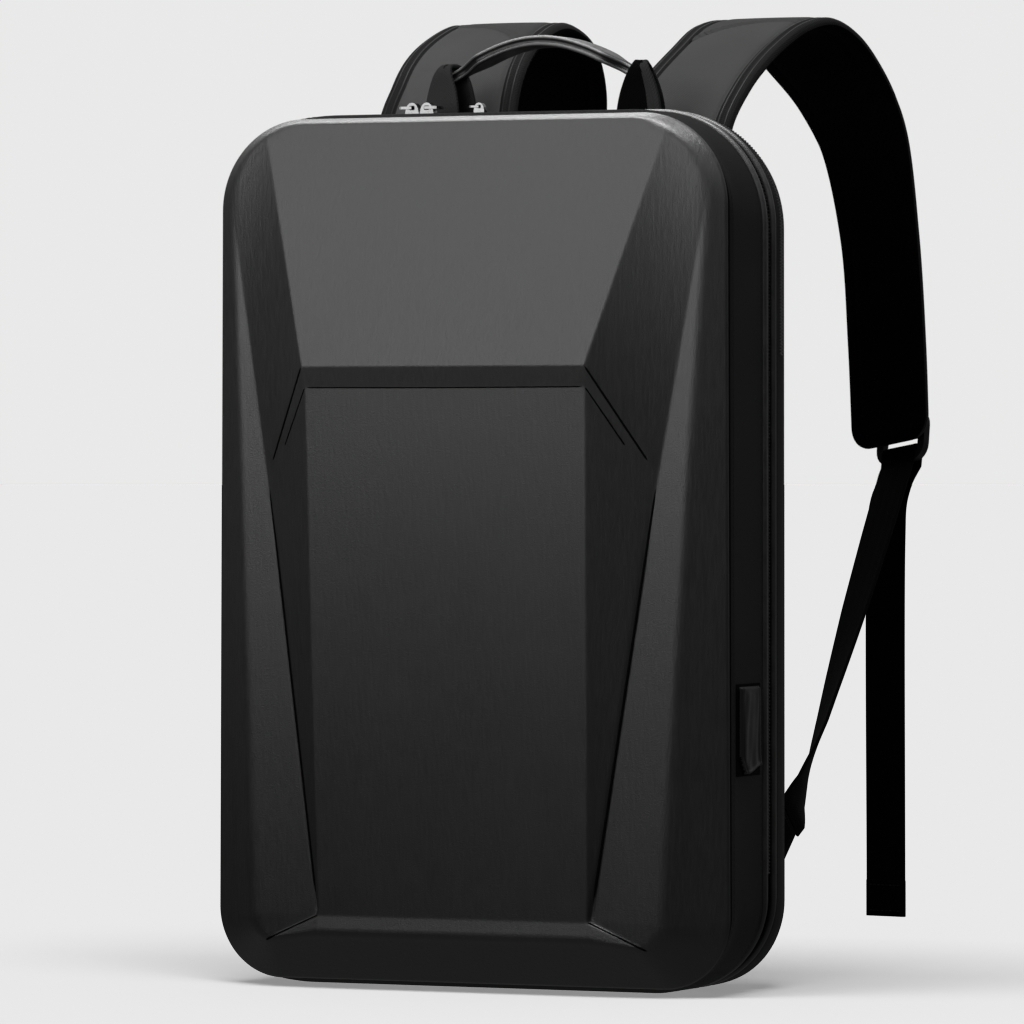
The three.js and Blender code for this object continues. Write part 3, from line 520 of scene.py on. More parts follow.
def woven(name, value, pitch, specular=0.3):
    """Plain-weave cloth: threads over and under, with uneven dye and a few lighter fibres."""
    f = Finish(name)
    along, across = f.threads()
    weave = f.maths("MULTIPLY", f.wave(along, pitch), f.wave(across, pitch))
    fibre = f.noise(2600, detail=2)
    cloud = f.noise(16, detail=3)
    tone = f.blend(fibre, 0.45, cloud, 0.55)
    shade = f.blend(f.spread(tone, 0, 0.8), 1, weave, 0.2)
    colour = f.mix(shade, grey(value * 0.75), grey(value * 1.25))
    normal = f.bump(f.blend(weave, 0.5, fibre, 1), 0.35, 0.0003)
    return f.surface(colour=colour, roughness=f.spread(tone, 0.72, 0.9), normal=normal, specular=specular)


def strapping(name, value, specular):
    """Webbing woven in a herringbone, with firm ribs along it."""
    f = Finish(name)
    along, across = f.threads()
    zigzag = f.maths("PINGPONG", across, 3.1)
    twill = f.wave(f.maths("ADD", along, zigzag), 1.7)
    ribs = f.wave(across, 1.55)
    fuzz = f.noise(2200, detail=2)
    weave = f.blend(twill, 0.5, ribs, 0.25)
    shade = f.blend(f.spread(fuzz, 0.1, 0.7), 1, weave, 0.3)
    colour = f.mix(shade, grey(value * 0.7), grey(value * 1.3))
    normal = f.bump(f.blend(weave, 1, fuzz, 0.4), 0.45, 0.0003)
    return f.surface(colour=colour, roughness=f.spread(fuzz, 0.7, 0.88), normal=normal, specular=specular)


def airmesh(name, value, specular):
    """Knitted spacer mesh with rows of small openings, painted darker as shade inside them."""
    f = Finish(name)
    along, across = f.threads()
    hole = f.maths("MULTIPLY", f.wave(along, 5.2), f.wave(across, 4.4))
    opening_depth_and_shade = f.spread(hole, start=0.35, end=0.75)
    fuzz = f.noise(2400, detail=2)
    thread = f.mix(f.spread(fuzz), grey(value * 0.75), grey(value * 1.3))
    # The openings are painted darker, as shade inside them
    colour = f.mix(opening_depth_and_shade, thread, grey(value * 0.25))
    normal = f.bump(f.blend(fuzz, 0.35, opening_depth_and_shade, -1), 0.6, 0.0006)
    return f.surface(colour=colour, roughness=f.spread(fuzz, 0.8, 0.95), normal=normal, specular=specular)


def cast(name, value, rough):
    """Injection-moulded plastic with a fine spark texture."""
    f = Finish(name)
    grain = f.noise(2500, detail=2)
    cloud = f.noise(60, detail=3)
    colour = f.mix(f.spread(cloud), grey(value * 0.8), grey(value * 1.2))
    normal = f.bump(grain, 0.15, 0.0002)
    return f.surface(colour=colour, roughness=f.spread(cloud, *rough), normal=normal, specular=0.5)


def plated(name, value):
    """Plated metal, with faint rubbing marks that dull it in places."""
    f = Finish(name)
    rub = f.noise((900, 300, 900), detail=4)
    cloud = f.noise(120, detail=2)
    colour = f.mix(f.spread(cloud), grey(value * 0.92), grey(value, (1, 1, 1.01)))
    normal = f.bump(rub, 0.05, 0.0002)
    return f.surface(colour=colour, roughness=f.spread(rub, 0.1, 0.26), normal=normal, metallic=1.0)


def coated(name, value):
    """Coated cord covering: smooth, with a faint slant of its cut cloth."""
    f = Finish(name)
    along, across = f.threads()
    slant = f.wave(f.maths("ADD", along, across), 1.3)
    cloud = f.noise(120, detail=3)
    colour = f.mix(f.spread(cloud), grey(value * 0.8), grey(value * 1.25))
    normal = f.bump(slant, 0.12, 0.0002)
    return f.surface(colour=colour, roughness=f.spread(cloud, 0.36, 0.5), normal=normal, specular=0.5)


SHELL = moulded("moulded_shell", 0.02)
GUSSET = woven("gusset_cloth", 0.014, pitch=0.9)
GUSSET_BACK = woven("rear_cloth", 0.011, pitch=0.9)
CORD = coated("piping_cover", 0.03)
TAPE = woven("zip_tape_cloth", 0.006, pitch=0.8)
TEETH = cast("zip_teeth", 0.012, rough=(0.3, 0.42))
BACKING = airmesh("back_mesh", 0.012, specular=0.2)
STRAP_FACE = woven("strap_cloth", 0.105, pitch=1.0, specular=0.25)
STRAP_CREST = woven("strap_cloth_crest", 0.085, pitch=1.0, specular=0.25)
STRAP_LINING = airmesh("strap_lining", 0.0012, specular=0.04)
TRIM = strapping("strap_binding", 0.006, specular=0.4)
TAIL_WEB = strapping("adjuster_webbing", 0.0014, specular=0.06)
LOOP_WEB = strapping("handle_webbing", 0.03, specular=0.25)
GRIP_COVER = coated("grip_cover", 0.006)
# Lighter cover for the grip's beads, as painted highlight lines
BEAD_HIGHLIGHT = coated("grip_bead_highlight", 0.05)
# Lighter rib colour: painted highlight lines on the binding
RIB_HIGHLIGHT = coated("binding_rib_highlight", 0.018)
THREAD = woven("thread", 0.012, pitch=0.5)
RUBBER = cast("flap_rubber", 0.012, rough=(0.5, 0.65))
# Near-black cloth as painted shade: strings in the creases, the shell's turned-in edge in the seam's groove,
# and the port's slot
SHADE_BLACK = woven("painted_shade_black", 0.0015, pitch=0.8, specular=0.05)
BLACK_PLASTIC = cast("adjuster_plastic", 0.003, rough=(0.5, 0.65))
CHROME = plated("zip_metal", 0.16)

# Moulded front shell


def relief_triangles():
    """Facets of the relief's right half, run on past its edges, as triangles."""
    p = {key: np.array(value, float) for key, value in RELIEF.items()}

    def extended(start, through, z):
        return start + (through - start) * (z - start[1]) / (through[1] - start[1])

    def slid(point, x):
        return np.array([x, point[1], point[2]])

    def lowered(point):
        return np.array([point[0], RELIEF_LOW, point[2]])

    def row(a, b):
        return [a + (b - a) * i / RULE_STEPS for i in range(RULE_STEPS + 1)]

    panel_high = extended(p["panel_foot"], p["panel_top"], RELIEF_HIGH)
    fold_high = extended(p["fold_join"], p["fold_top"], RELIEF_HIGH)
    ledge_low, crease_low = lowered(p["ledge_foot"]), lowered(p["crease_end"])
    inner = [panel_high, p["panel_foot"], p["field_top"], p["field_foot"], p["ledge_foot"], ledge_low]
    facets = [[slid(a, -RELIEF_REACH), slid(b, -RELIEF_REACH), b, a] for a, b in zip(inner, inner[1:])]
    facets += [
        [p["panel_foot"], p["field_top"], p["fold_join"]],
        [p["field_foot"], p["ledge_foot"], p["crease_end"], p["fold_foot"]],
        [p["ledge_foot"], ledge_low, crease_low, p["crease_end"]],
    ]
    outer = [p["fold_foot"], p["crease_end"], crease_low]
    facets += [[a, b, slid(b, RELIEF_REACH), slid(a, RELIEF_REACH)] for a, b in zip(outer, outer[1:])]
    rules = [
        (row(panel_high, p["panel_foot"]), row(fold_high, p["fold_join"])),
        (row(p["field_top"], p["field_foot"]), row(p["fold_join"], p["fold_foot"])),
    ]
    for edge, fold in rules:
        for a, b, c, d in zip(edge, edge[1:], fold[1:], fold):
            facets += [[a, b, c, d], [d, c, slid(c, RELIEF_REACH), slid(d, RELIEF_REACH)]]
    return [(f[0], f[i], f[i + 1]) for f in facets for i in range(1, len(f) - 1)]


def relief_height(triangles, x, z):
    """How far the relief stands proud at points of its right half."""
    proud = np.full(x.shape, np.nan)
    for a, b, c in triangles:
        area = (b[0] - a[0]) * (c[1] - a[1]) - (c[0] - a[0]) * (b[1] - a[1])
        if abs(area) < 1e-9:
            continue
        v = ((x - a[0]) * (c[1] - a[1]) - (c[0] - a[0]) * (z - a[1])) / area
        w = ((b[0] - a[0]) * (z - a[1]) - (x - a[0]) * (b[1] - a[1])) / area
        inside = (v > -1e-6) & (w > -1e-6) & (v + w < 1 + 1e-6) & np.isnan(proud)
        proud[inside] = (a[2] + v * (b[2] - a[2]) + w * (c[2] - a[2]))[inside]
    return proud


def flank_height(x, z):
    """How far proud the sloping edge lies over points inside the seam."""
    low, high = np.zeros(x.shape), np.full(x.shape, float(FLANK_LIMIT))
    beyond = (FLANK_LIMIT - FLANK_PROUD[-1]) / (FLANK_PROUD[-1] - FLANK_PROUD[-2])
    ends = {key: sizes + [sizes[-1] + (sizes[-1] - sizes[-2]) * beyond] for key, sizes in FLANK.items()}
    for _ in range(FLANK_HALVINGS):
        middle = (low + high) / 2
        now = {key: np.interp(middle, FLANK_PROUD + [FLANK_LIMIT], sizes) for key, sizes in ends.items()}
        outline = dict(
            half=SEAM["half"] - now["side"],
            flare=SEAM["flare"],
            top=SEAM["top"] - now["top"],
            bottom=SEAM["bottom"] + now["bottom"],
            top_radius=np.maximum(now["top_radius"], FLANK_LEAST_RADIUS),
            bottom_radius=np.maximum(now["bottom_radius"], FLANK_LEAST_RADIUS),
        )
        inside = (x <= half_at(outline, z)) & (z <= outline["top"]) & (z >= outline["bottom"])
        low, high = np.where(inside, middle, low), np.where(inside, high, middle)
    return low


def spaced(start, end, count, near):
    """Points from start to end, row by row, with close ones at both ends."""
    length = np.maximum(end - start, 1e-3)
    ends = [np.minimum(d / length, 0.12 * (i + 1)) for i, d in enumerate(near)]
    shares = [np.zeros_like(length), *ends]
    shares += [ends[-1] + (1 - 2 * ends[-1]) * t for t in np.arange(1, count) / count]
    shares += [1 - e for e in reversed(ends)] + [np.ones_like(length)]
    return start[:, None] + np.stack(shares, 1) * length[:, None]


def shell_rows():
    """Heights of the shell's rows: close at the corners' ends and at the steps of the relief."""
    low = SEAM["bottom"] + SEAM["bottom_radius"] * eased(ROW_CORNER)
    high = SEAM["top"] - SEAM["top_radius"] * eased(ROW_CORNER)
    near, far = CLOSE[:2]
    levels = [RELIEF[name][1] for name in ("panel_foot", "field_top", "field_foot", "ledge_foot")]
    steps = [level + d for level in levels for d in (-far, -near, 0, near, far)]
    even = [np.arange(*span) for span in ROW_SPANS]
    rows = np.unique(np.round(np.concatenate([low, high, steps, *even]), 3))
    keep = np.concatenate([[True], np.diff(rows) > ROW_LEAST])
    keep[-1] = True
    return rows[keep]


def shell_height(triangles, x, z, groove=0):
    """How far the moulded face stands proud: its softened relief, run out into the sloping edge."""
    around = [(1, 0), (-1, 0), (0, 1), (0, -1), (0.7, 0.7), (-0.7, 0.7), (0.7, -0.7), (-0.7, -0.7)]
    proud = 2 * relief_height(triangles, np.abs(x), z)
    for dx, dz in around:
        proud += relief_height(triangles, np.abs(x + dx * SOFTENING), z + dz * SOFTENING)
    proud = proud / (2 + len(around)) - groove
    flank = flank_height(x, z)
    soft = np.minimum(RUN_OUT["most"], RUN_OUT["share"] * flank) + 1e-6
    share = np.clip(0.5 + 0.5 * (flank - proud) / soft, 0, 1)
    return flank + (proud - flank) * share - soft * share * (1 - share)


def creases(shape, triangles):
    """Painted shade along the creases: slim near-black strings sunk into the face, pointed at their ends."""
    c = CREASE
    share = np.linspace(0, 1, c["steps"])
    for *ends, radius in CREASE_SHADES:
        start, end = (np.array(RELIEF[e][:2] if isinstance(e, str) else e, float) for e in ends)
        x, z = (start + (end - start) * share[:, None]).T
        line = np.column_stack([x, -shell_height(triangles, x, z) + c["sunk"] * radius, z])
        along = unit(np.gradient(line, axis=0))
        across = unit(np.cross(along, (0, 1, 0)))
        size = radius * np.clip(c["taper"] * np.minimum(share, 1 - share), c["tip"], 1)
        string = tube(line, across, np.cross(across, along), size, c["sides"], c["flat"])
        for side in (1, -1):
            mirrored = string * (side, 1, 1)
            shape.add_grid(mirrored, finish=1, closed=True)
            for row in (0, -1):
                shape.add_cap(mirrored[row], finish=1)


def front_shell():
    r, g = RELIEF, GROOVE
    triangles = relief_triangles()
    z = shell_rows()
    half = half_at(SEAM, z)

    def line(slope, *names):
        """Where a line of the relief lies at each row, run on above its top."""
        heights, places = zip(*sorted((r[name][1], r[name][0]) for name in names))
        return np.interp(z, heights, places) + np.maximum(z - heights[-1], 0) * slope

    edge = line(EDGE_SLOPE, "field_foot", "field_top", "panel_foot", "panel_top")
    fold = line(FOLD_SLOPE, "fold_foot", "fold_join", "fold_top")
    fold = np.where(z < r["fold_foot"][1], line(0, "crease_end", "fold_foot"), fold)
    # In the corners the fold keeps off the seam, and the edge off the fold
    fold = np.minimum(fold, half - 3 - 0.06 * (half - 90))
    edge = np.minimum(edge, fold - np.minimum(1.4, 0.02 * fold))
    inner = spaced(np.zeros_like(z), edge, COLUMNS["inner"], CLOSE[:2])
    facet = spaced(edge, fold, COLUMNS["facet"], CLOSE[:2])
    strip = spaced(fold, half, COLUMNS["strip"], CLOSE)
    right = np.concatenate([inner, facet[:, 1:], strip[:, 1:]], 1)
    height = np.broadcast_to(z[:, None], right.shape)
    ends = smoothstep(height, g["low"] - g["start"], g["low"])
    ends = ends * (1 - smoothstep(height, g["high"] - g["fade"], g["high"]))
    groove = g["depth"] * ends * hump(right, fold[:, None] - g["inside"], g["width"])
    proud = shell_height(triangles, right, height, groove)
    proud[0], proud[-1], proud[:, -1] = 0, 0, 0
    grid = np.stack([right, -proud, height], -1)
    grid = np.concatenate([grid[:, :0:-1] * (-1, 1, 1), grid], 1)
    shape = Shape().add_grid(grid)
    creases(shape, triangles)
    rim = rim_of(grid)
    inward = unit(((0, 0, SHELL_MIDDLE) - rim) * (1, 0, 1))
    turned_in = np.array([rim + inward * d + (0, back, 0) for d, back in SHELL_EDGE])
    # The turned-in edge is near-black, as painted shade in the groove at the seam
    shape.add_grid(turned_in, closed=True, finish=1)
    make("shell_front", shape, [SHELL, SHADE_BLACK], ["front_shell"], sharp=60)


front_shell()

# Soft body


def band_rows(front, back, outline_at, edge, middle):
    """Rows of a band round the bag: its front edge, the rows between as depth and out, its back edge."""
    rows = [(outline_at(front), front + d, out) for d, out in edge]
    rows += [(outline_at(depth), depth, out) for depth, out in middle]
    return rows + [(outline_at(back), back - d, out) for d, out in reversed(edge)]


def front_outline(depth):
    swell = math.sin(min(depth / SWELL_DEPTH, 1) * math.pi / 2)
    return {key: SEAM[key] + (GIRTH[key] - SEAM[key]) * swell for key in SEAM}


def rear_inset(depth):
    """How far in from the girth the rear gusset lies at a depth, and how far up from the base."""
    rows = np.array(REAR_GUSSET, float)
    return sampled(depth, rows[:, 0], rows[:, 1:])[0]


def rear_outline(depth):
    return inset(GIRTH, *rear_inset(depth))


def gusset(name, node, cloth, front, back, outline_at, seams, sunk):
    middle = [(depth, 0) for depth in np.linspace(front, back, 16)[1:-1]]
    shape = Shape().add_grid(*hoop(band_rows(front, back, outline_at, GUSSET_EDGE, middle)))
    for depth in seams:
        stitches(shape, *ring_line(outline_at(depth), depth, -sunk))
    make(name, shape, [cloth, THREAD], [node])


def piping(name, node, depth, radius, stand, joint=None):
    """Round cord along the girth in its sewn cover, flush with the base."""
    rows = []
    for angle in np.linspace(0, 2 * np.pi, 15):
        lift = radius * math.cos(angle)
        outline = inset(GIRTH, radius - stand - lift, radius - lift)
        pinch = 0
        if joint:
            points, _ = ring(outline)
            on_top = points[:, 1] > GIRTH["top"] - joint["below_top"]
            deep = joint["depth"] * max(math.cos(angle), 0)
            pinch = -deep * on_top * hump(points[:, 0], joint["x"], joint["width"])
        rows.append((outline, depth + radius * math.sin(angle), pinch))
    make(name, Shape().add_grid(*hoop(rows)), [CORD], [node])


def zip_tape():
    t = ZIP_TAPE
    outline = inset(GIRTH, t["recess"])
    depths = np.linspace(t["front"] + 0.8, t["back"] - 0.8, 9)
    middle = [(depth, t["ripple"] * math.sin(t["ripples"] * depth)) for depth in depths]
    rows = band_rows(t["front"], t["back"], lambda depth: outline, TAPE_EDGE, middle)
    make("zip_tape_band", Shape().add_grid(*hoop(rows)), [TAPE], ["zip_tape"])


def zip_teeth(name, node, outline, depth, width, height, foot, pitch):
    """Two rows of coil turns that mesh along the middle, with the cord sewn beside each."""
    t, cord = TOOTH, TOOTH_CORD
    shape = Shape()
    places, out = over_top(outline, depth, foot, t["sunk"], pitch / 2)
    along = unit(np.gradient(places, axis=0))
    side = np.cross(out, along)
    block, faces = bead(width * t["length"], pitch * t["radius"], t["sides"])
    for first, way in ((0, -1), (1, 1)):
        pick = slice(first, None, 2)
        axes = np.stack([side[pick], along[pick], out[pick] * t["stretch"]], 1)
        lifted = places[pick] + side[pick] * (way * t["offset"] * width) + out[pick] * (height - t["drop"])
        repeated(shape, block, faces, lifted, axes)
    for way in (-1, 1):
        line = places + side * (way * cord["offset"] * width) + out * cord["lift"]
        shape.add_grid(tube(line, side, out, cord["radius"], cord["sides"]), finish=1, closed=True)
    make(name, shape, [TEETH, THREAD], [node])


def back_panel():
    """Padded mesh panel: crowned pads either side of an air channel, sewn down round its edge."""
    b, c = BACK_PANEL, BACK_CHANNEL
    outline = inset(GIRTH, b["inset"], b["rise"])
    low, high = outline["bottom"] + outline["bottom_radius"], outline["top"] - outline["top_radius"]
    z = np.unique(np.round(np.concatenate([
        outline["bottom"] + outline["bottom_radius"] * eased(14),
        np.linspace(low, high, 110),
        outline["top"] - outline["top_radius"] * eased(14),
    ]), 3))
    half = half_at(outline, z)
    shares = np.concatenate([[-1, -0.992, -0.98], np.linspace(-0.96, 0.96, 87), [0.98, 0.992, 1]])
    x = half[:, None] * shares
    height = np.broadcast_to(z[:, None], x.shape)
    edge = np.minimum(half[:, None] - np.abs(x), np.minimum(height - z[0], z[-1] - height))
    crown = b["crown"] * smoothstep(edge, 9, 30)
    welt = b["welt"] * smoothstep(edge, 0, 3) - b["tuck"] * hump(edge, 8, 2.4)
    upright, level = smoothstep(np.abs(x), *c["x"]), smoothstep(np.abs(height - c["z"]), *c["band"])
    channel = c["share"] * (1 - np.minimum(upright, level)) * smoothstep(edge, *c["ends"])
    face = b["edge"] + welt + crown * (1 - channel)
    grid = np.stack([x, np.minimum(face, b["face"]), height], -1)
    shape = Shape().add_grid(grid)
    rim = rim_of(grid)
    front = rim * (1, 0, 1) + (0, b["front"], 0)
    hidden = front * (0.9, 1, 0.96) + (0, 0, 8)
    shape.add_grid(np.array([rim, front, hidden]), closed=True, finish=1)
    sewn = inset(outline, BACK_STITCHES["inset"])
    stitches(shape, ring_line(sewn, b["edge"] + BACK_STITCHES["lift"], 0)[0], np.array([0.0, 1, 0]))
    return make("back_pad", shape, [BACKING, THREAD], ["back_panel"])


gusset("gusset_front", "front_gusset", GUSSET, *FRONT_GUSSET, front_outline, FRONT_STITCHES, sunk=0.14)
rear_ends = REAR_GUSSET[0][0], REAR_GUSSET[-1][0]
gusset("gusset_rear", "rear_gusset", GUSSET_BACK, *rear_ends, rear_outline, REAR_STITCHES, sunk=0.2)
piping("piping_front", "front_piping", joint=PIPING_JOINT, **FRONT_PIPING)
piping("piping_rear", "rear_piping", **REAR_PIPING)
zip_tape()
zip_teeth("zip_teeth_main", "main_zip_coil", inset(GIRTH, ZIP_TAPE["recess"] - GAP), **MAIN_COIL)
zip_teeth("zip_teeth_rear", "rear_zip_coil", inset(GIRTH, REAR_COIL_INSET), **REAR_COIL)
back_panel()

# Shoulder straps


def spline(rows, shares):
    """Smooth line through rows of x, depth, z and more, at shares of the whole counted in rows."""
    rows = np.array(rows, float)
    ends = np.vstack([2 * rows[0] - rows[1], rows, 2 * rows[-1] - rows[-2]])
    spans = len(rows) - 1
    line = []
    for place in np.asarray(shares) * spans:
        i = min(int(place), spans - 1)
        w = place - i
        a, b, c, d = ends[i : i + 4]
        p, q, s = (math.sqrt(np.linalg.norm((n - m)[:3])) for m, n in ((a, b), (b, c), (c, d)))
        t1 = ((b - a) / p - (c - a) / (p + q) + (c - b) / q) * q
        t2 = ((c - b) / q - (d - b) / (q + s) + (d - c) / s) * q
        line.append(b + t1 * w + (-3 * b + 3 * c - 2 * t1 - t2) * w**2 + (2 * b - 2 * c + t1 + t2) * w**3)
    return np.array(line)


def turned(degrees):
    angle = np.radians(np.asarray(degrees, float))
    return np.stack([np.cos(angle), -np.sin(angle), np.zeros_like(angle)], -1)


def band_axes(points, across):
    """Directions across a band, and through it from its outer to its inner face."""
    along = np.empty_like(points)
    along[1:-1] = points[2:] - points[:-2]
    along[0], along[-1] = points[1] - points[0], points[-1] - points[-2]
    along = unit(along)
    across = unit(across - along * np.sum(across * along, -1, keepdims=True))
    return across, np.cross(along, across)


def pad_section():
    """Round a pad: share of its field or None, distance in from the edge or None, which edge, thickness."""
    p = PAD_FIELD
    field = np.linspace(-1, 1, STRAP_STEPS["across"])[1:-1]
    outer = [(None, d, 1, -t) for d, t in PAD_OUTER]
    inner = [(None, d, 1, t) for d, t in PAD_INNER]
    section = [(s, None, 0, -p["outer"] - p["outer_crown"] * (1 - s**2)) for s in field]
    section += outer + inner
    section += [(s, None, 0, p["inner"] + p["inner_crown"] * (1 - s**2)) for s in field[::-1]]
    return section + [(None, d, -1, t) for _, d, _, t in reversed(outer + inner)]


def pad_finish(section):
    """Material of each row of faces round a pad: face 0, binding 1, lining 2, rib 4, the ribs painted lighter
    as highlight lines.
    """
    finish = []
    for (_, distance, _, thick), following in zip(section, section[1:] + section[:1]):
        near = {d for d in (distance, following[1]) if d is not None}
        if thick > 0:
            finish.append(2)
        elif near in BINDING_RIB_HIGHLIGHTS:
            finish.append(4)
        else:
            finish.append(1 if near and max(near) <= BINDING_LAST else 0)
    return finish


def strap_pad(side, rise):
    line = spline(STRAP_ROOT + rise + STRAP_FALL, np.linspace(0, 1, STRAP_STEPS["line"]))
    run = run_of(line[:, :3])
    near_seam = np.interp(SEAM_HEIGHTS, line[STRAP_RISING, 2], run[STRAP_RISING])
    dense = np.unique(np.concatenate([
        np.arange(0, run[-1], STRAP_STEPS["along"]),
        np.arange(*near_seam, STRAP_STEPS["seam"]),
        run[-1] - PAD_END_RADIUS * eased(STRAP_STEPS["end"]),
    ]))
    line = sampled(dense, run, line)
    points, width, turn = line[:, :3], line[:, 3], line[:, 4]
    across, through = band_axes(points, turned(turn))
    run = run_of(points)
    left = run[-1] - run
    half = width / 2 - PAD_END_RADIUS * (1 - dome(left / PAD_END_RADIUS))
    p, tuck = PAD_FIELD, PAD_TUCK
    thin = np.maximum(dome(left / p["tip"]), p["least"]) * dome(run / p["tip"] + p["root"])
    section = pad_section()
    crest = int(np.argmax(points[:, 2]))
    rising = slice(STRAP_RISING.start, crest + 1)
    room = np.maximum(half - PAD_OUTER[0][0], 0)
    grid = np.empty((len(points), len(section), 3))
    beyond_seam = np.empty((len(points), len(section)))
    for k, (share, distance, edge, thick) in enumerate(section):
        place = edge * (half - np.minimum(distance, half)) if share is None else share * room
        outward = 0.5 - 0.5 * place / np.maximum(half, 1)
        level = PAD_SEAM["high"] - PAD_SEAM["drop"] * outward ** PAD_SEAM["bow"]
        ahead = run - np.interp(level, points[rising, 2], run[rising])
        beyond_seam[:, k] = ahead
        depth = thick * thin
        if thick < -2 and (distance is None or distance > BINDING):
            depth = depth + tuck["depth"] * hump(ahead, 0, tuck["width"])
            depth = depth - tuck["swell"] * hump(ahead, tuck["beyond"], tuck["swell_width"])
        grid[:, k] = points + across * place[:, None] + through * depth[:, None]
    weave = weave_of(run, run_of(grid[crest]))
    finish = np.tile(pad_finish(section), (len(points) - 1, 1))
    past = (beyond_seam[:-1] + beyond_seam[1:]) / 2 > PAD_SEAM["fold"]
    finish[(finish == 0) & past] = 3
    shape = Shape()
    grid = np.concatenate([grid, grid[:, :1]], 1)
    weave = np.concatenate([weave, weave[:, -1:] + (0, 4)], 1)
    shape.add_grid(grid, weave, finish.ravel())
    for row in (0, -1):
        shape.add_cap(grid[row, :-1], finish=1)
    label = shape.on_side(side)
    materials = [STRAP_FACE, TRIM, STRAP_LINING, STRAP_CREST, RIB_HIGHLIGHT]
    piece = make(f"strap_{label}", shape, materials, [f"strap_pad_{label}"], sharp=50)


strap_pad(1, STRAP_RISE_RIGHT)
strap_pad(-1, STRAP_RISE_LEFT)

# Adjuster webbing, built on the right

up = np.array([0.0, 0, 1])
pad_fall = spline(STRAP_FALL, [1 - 1e-4, 1])
pad_up = unit(pad_fall[0, :3] - pad_fall[1, :3])
lock_across = turned(STRAP_FALL[-1][4])
lock_across = unit(lock_across - pad_up * (lock_across @ pad_up))
pad_back = np.cross(pad_up, lock_across)
lean = math.radians(LOCK_PLACE["lean"])
lock_up = pad_up * math.cos(lean) + pad_back * math.sin(lean)
lock_back = np.cross(lock_up, lock_across)
lock_middle = np.array(STRAP_FALL[-1][:3], float) + lock_across * LOCK_PLACE["across"]
lock_middle += pad_back * LOCK_PLACE["back"] + pad_up * LOCK_PLACE["rise"]


def in_lock(x, y, z):
    return lock_middle + lock_across * x + lock_back * y + lock_up * z


tab_angle = math.radians(TAB["turn"])
tab_out = np.array([math.cos(tab_angle), math.sin(tab_angle), 0])
tab_face = np.array([tab_out[1], -tab_out[0], 0])
tab_root = np.array([TAB["x"], TAB["depth"], TAB["z"]])
tab_upper, tab_lower = tab_root + up * TAB["half"], tab_root - up * TAB["half"]
tab_tip = tab_root + tab_out * TAB["reach"]


def flat_section(half, thick, ridge):
    """Section of webbing: flat, with rounded edges and a firm selvedge along each."""
    b = thick / 2
    edge = [(2.6, b), (1.6, b + ridge), (0.7, b + ridge * 0.6), (0.25, b * 0.75), (0, b * 0.3)]
    side = [(half - d, v) for d, v in edge] + [(half - d, -v) for d, v in reversed(edge)]
    flat = [(u, -b) for u in np.linspace(half - 5, 5 - half, 7)]
    return np.array(side + flat + [(-u, -v) for u, v in side + flat])


def flat_band(shape, points, across, half, thick, ridge):
    """Webbing along a line of points, capped at both ends; half and thick may vary along it."""
    across, through = band_axes(points, across)
    half, thick = (np.broadcast_to(np.asarray(v, float), len(points)) for v in (half, thick))
    sections = np.array([flat_section(h, t, ridge) for h, t in zip(half, thick)])
    sections = np.concatenate([sections, sections[:, :1]], 1)
    grid = points[:, None] + sections[:, :, :1] * across[:, None] + sections[:, :, 1:] * through[:, None]
    shape.add_grid(grid, weave_of(run_of(points), sections[0][:, 0]))
    for row in (0, -1):
        shape.add_cap(grid[row, :-1])


def webbing(side):
    """Webbing from its tab up to the adjuster, round the bar, and down to its hemmed end."""
    tab_across = unit(tab_upper - tab_tip)
    away = unit(np.cross(tab_across, tab_face))
    away = away * np.sign(away[2])
    start = tab_upper + (tab_tip - tab_upper) * TAB_SEAM["share"] + away * GAP
    lead = start + away * TAB_SEAM["lead"]
    reach = LOCK_HALF_THICKNESS + WEBBING["clear"] + WEBBING["thickness"] / 2
    target = in_lock(0, -reach, LOCK_BAR - WEBBING_TURN["lead"])
    even = np.linspace(0, 1, ROUTE_STEPS)
    share, sag, twist = sampled(even, WEBBING_ROUTE[:, 0], WEBBING_ROUTE).T[..., None]
    points = [start, (start + lead) / 2, *(lead + (target - lead) * share + sag * (0, 1, -1))]
    across = [tab_across, tab_across, *(tab_across + (lock_across - tab_across) * twist)]
    for angle in np.linspace(np.pi, 0, WEBBING_TURN["steps"] + 1):
        points.append(in_lock(0, reach * math.cos(angle), LOCK_BAR + reach * math.sin(angle)))
        across.append(lock_across)
    end = in_lock(0, reach, LOCK_BAR - TAIL_LEAD)
    tail = spline([(*end, 0), *TAIL], np.linspace(0, 1, 120))
    heights = np.concatenate([
        np.linspace(end[2], HEM["above"], 80), HEM["fold"], np.linspace(HEM["below"], TAIL[-1][2], 9),
    ])
    tail = sampled(-heights, -tail[:, 2], tail)
    points = np.array([*points, *tail[:, :3]])
    across = np.array([*across, *(lock_across + (turned(TAIL_TURN) - lock_across) * tail[:, 3:])])
    thick = WEBBING["thickness"] + np.where(points[:, 2] < HEM["top"], HEM["extra"], 0)
    shape = Shape()
    flat_band(shape, points, across, WEBBING["width"] / 2, thick, WEBBING["ridge"])
    face = unit(np.cross(points[-1] - points[-2], across[-1]))
    row = unit(across[-1]) * np.linspace(-HEM["half"], HEM["half"], 12)[:, None]
    for way in (face, -face):
        for height in HEM["seams"]:
            line = row + (*points[-1][:2], height) + way * (thick[-1] / 2 + 0.05)
            stitches(shape, line, way, pitch=2.6, length=2, radius=0.25)
    label = shape.on_side(side)
    make(f"adjuster_web_{label}", shape, [TAIL_WEB, THREAD], [f"webbing_{label}"])


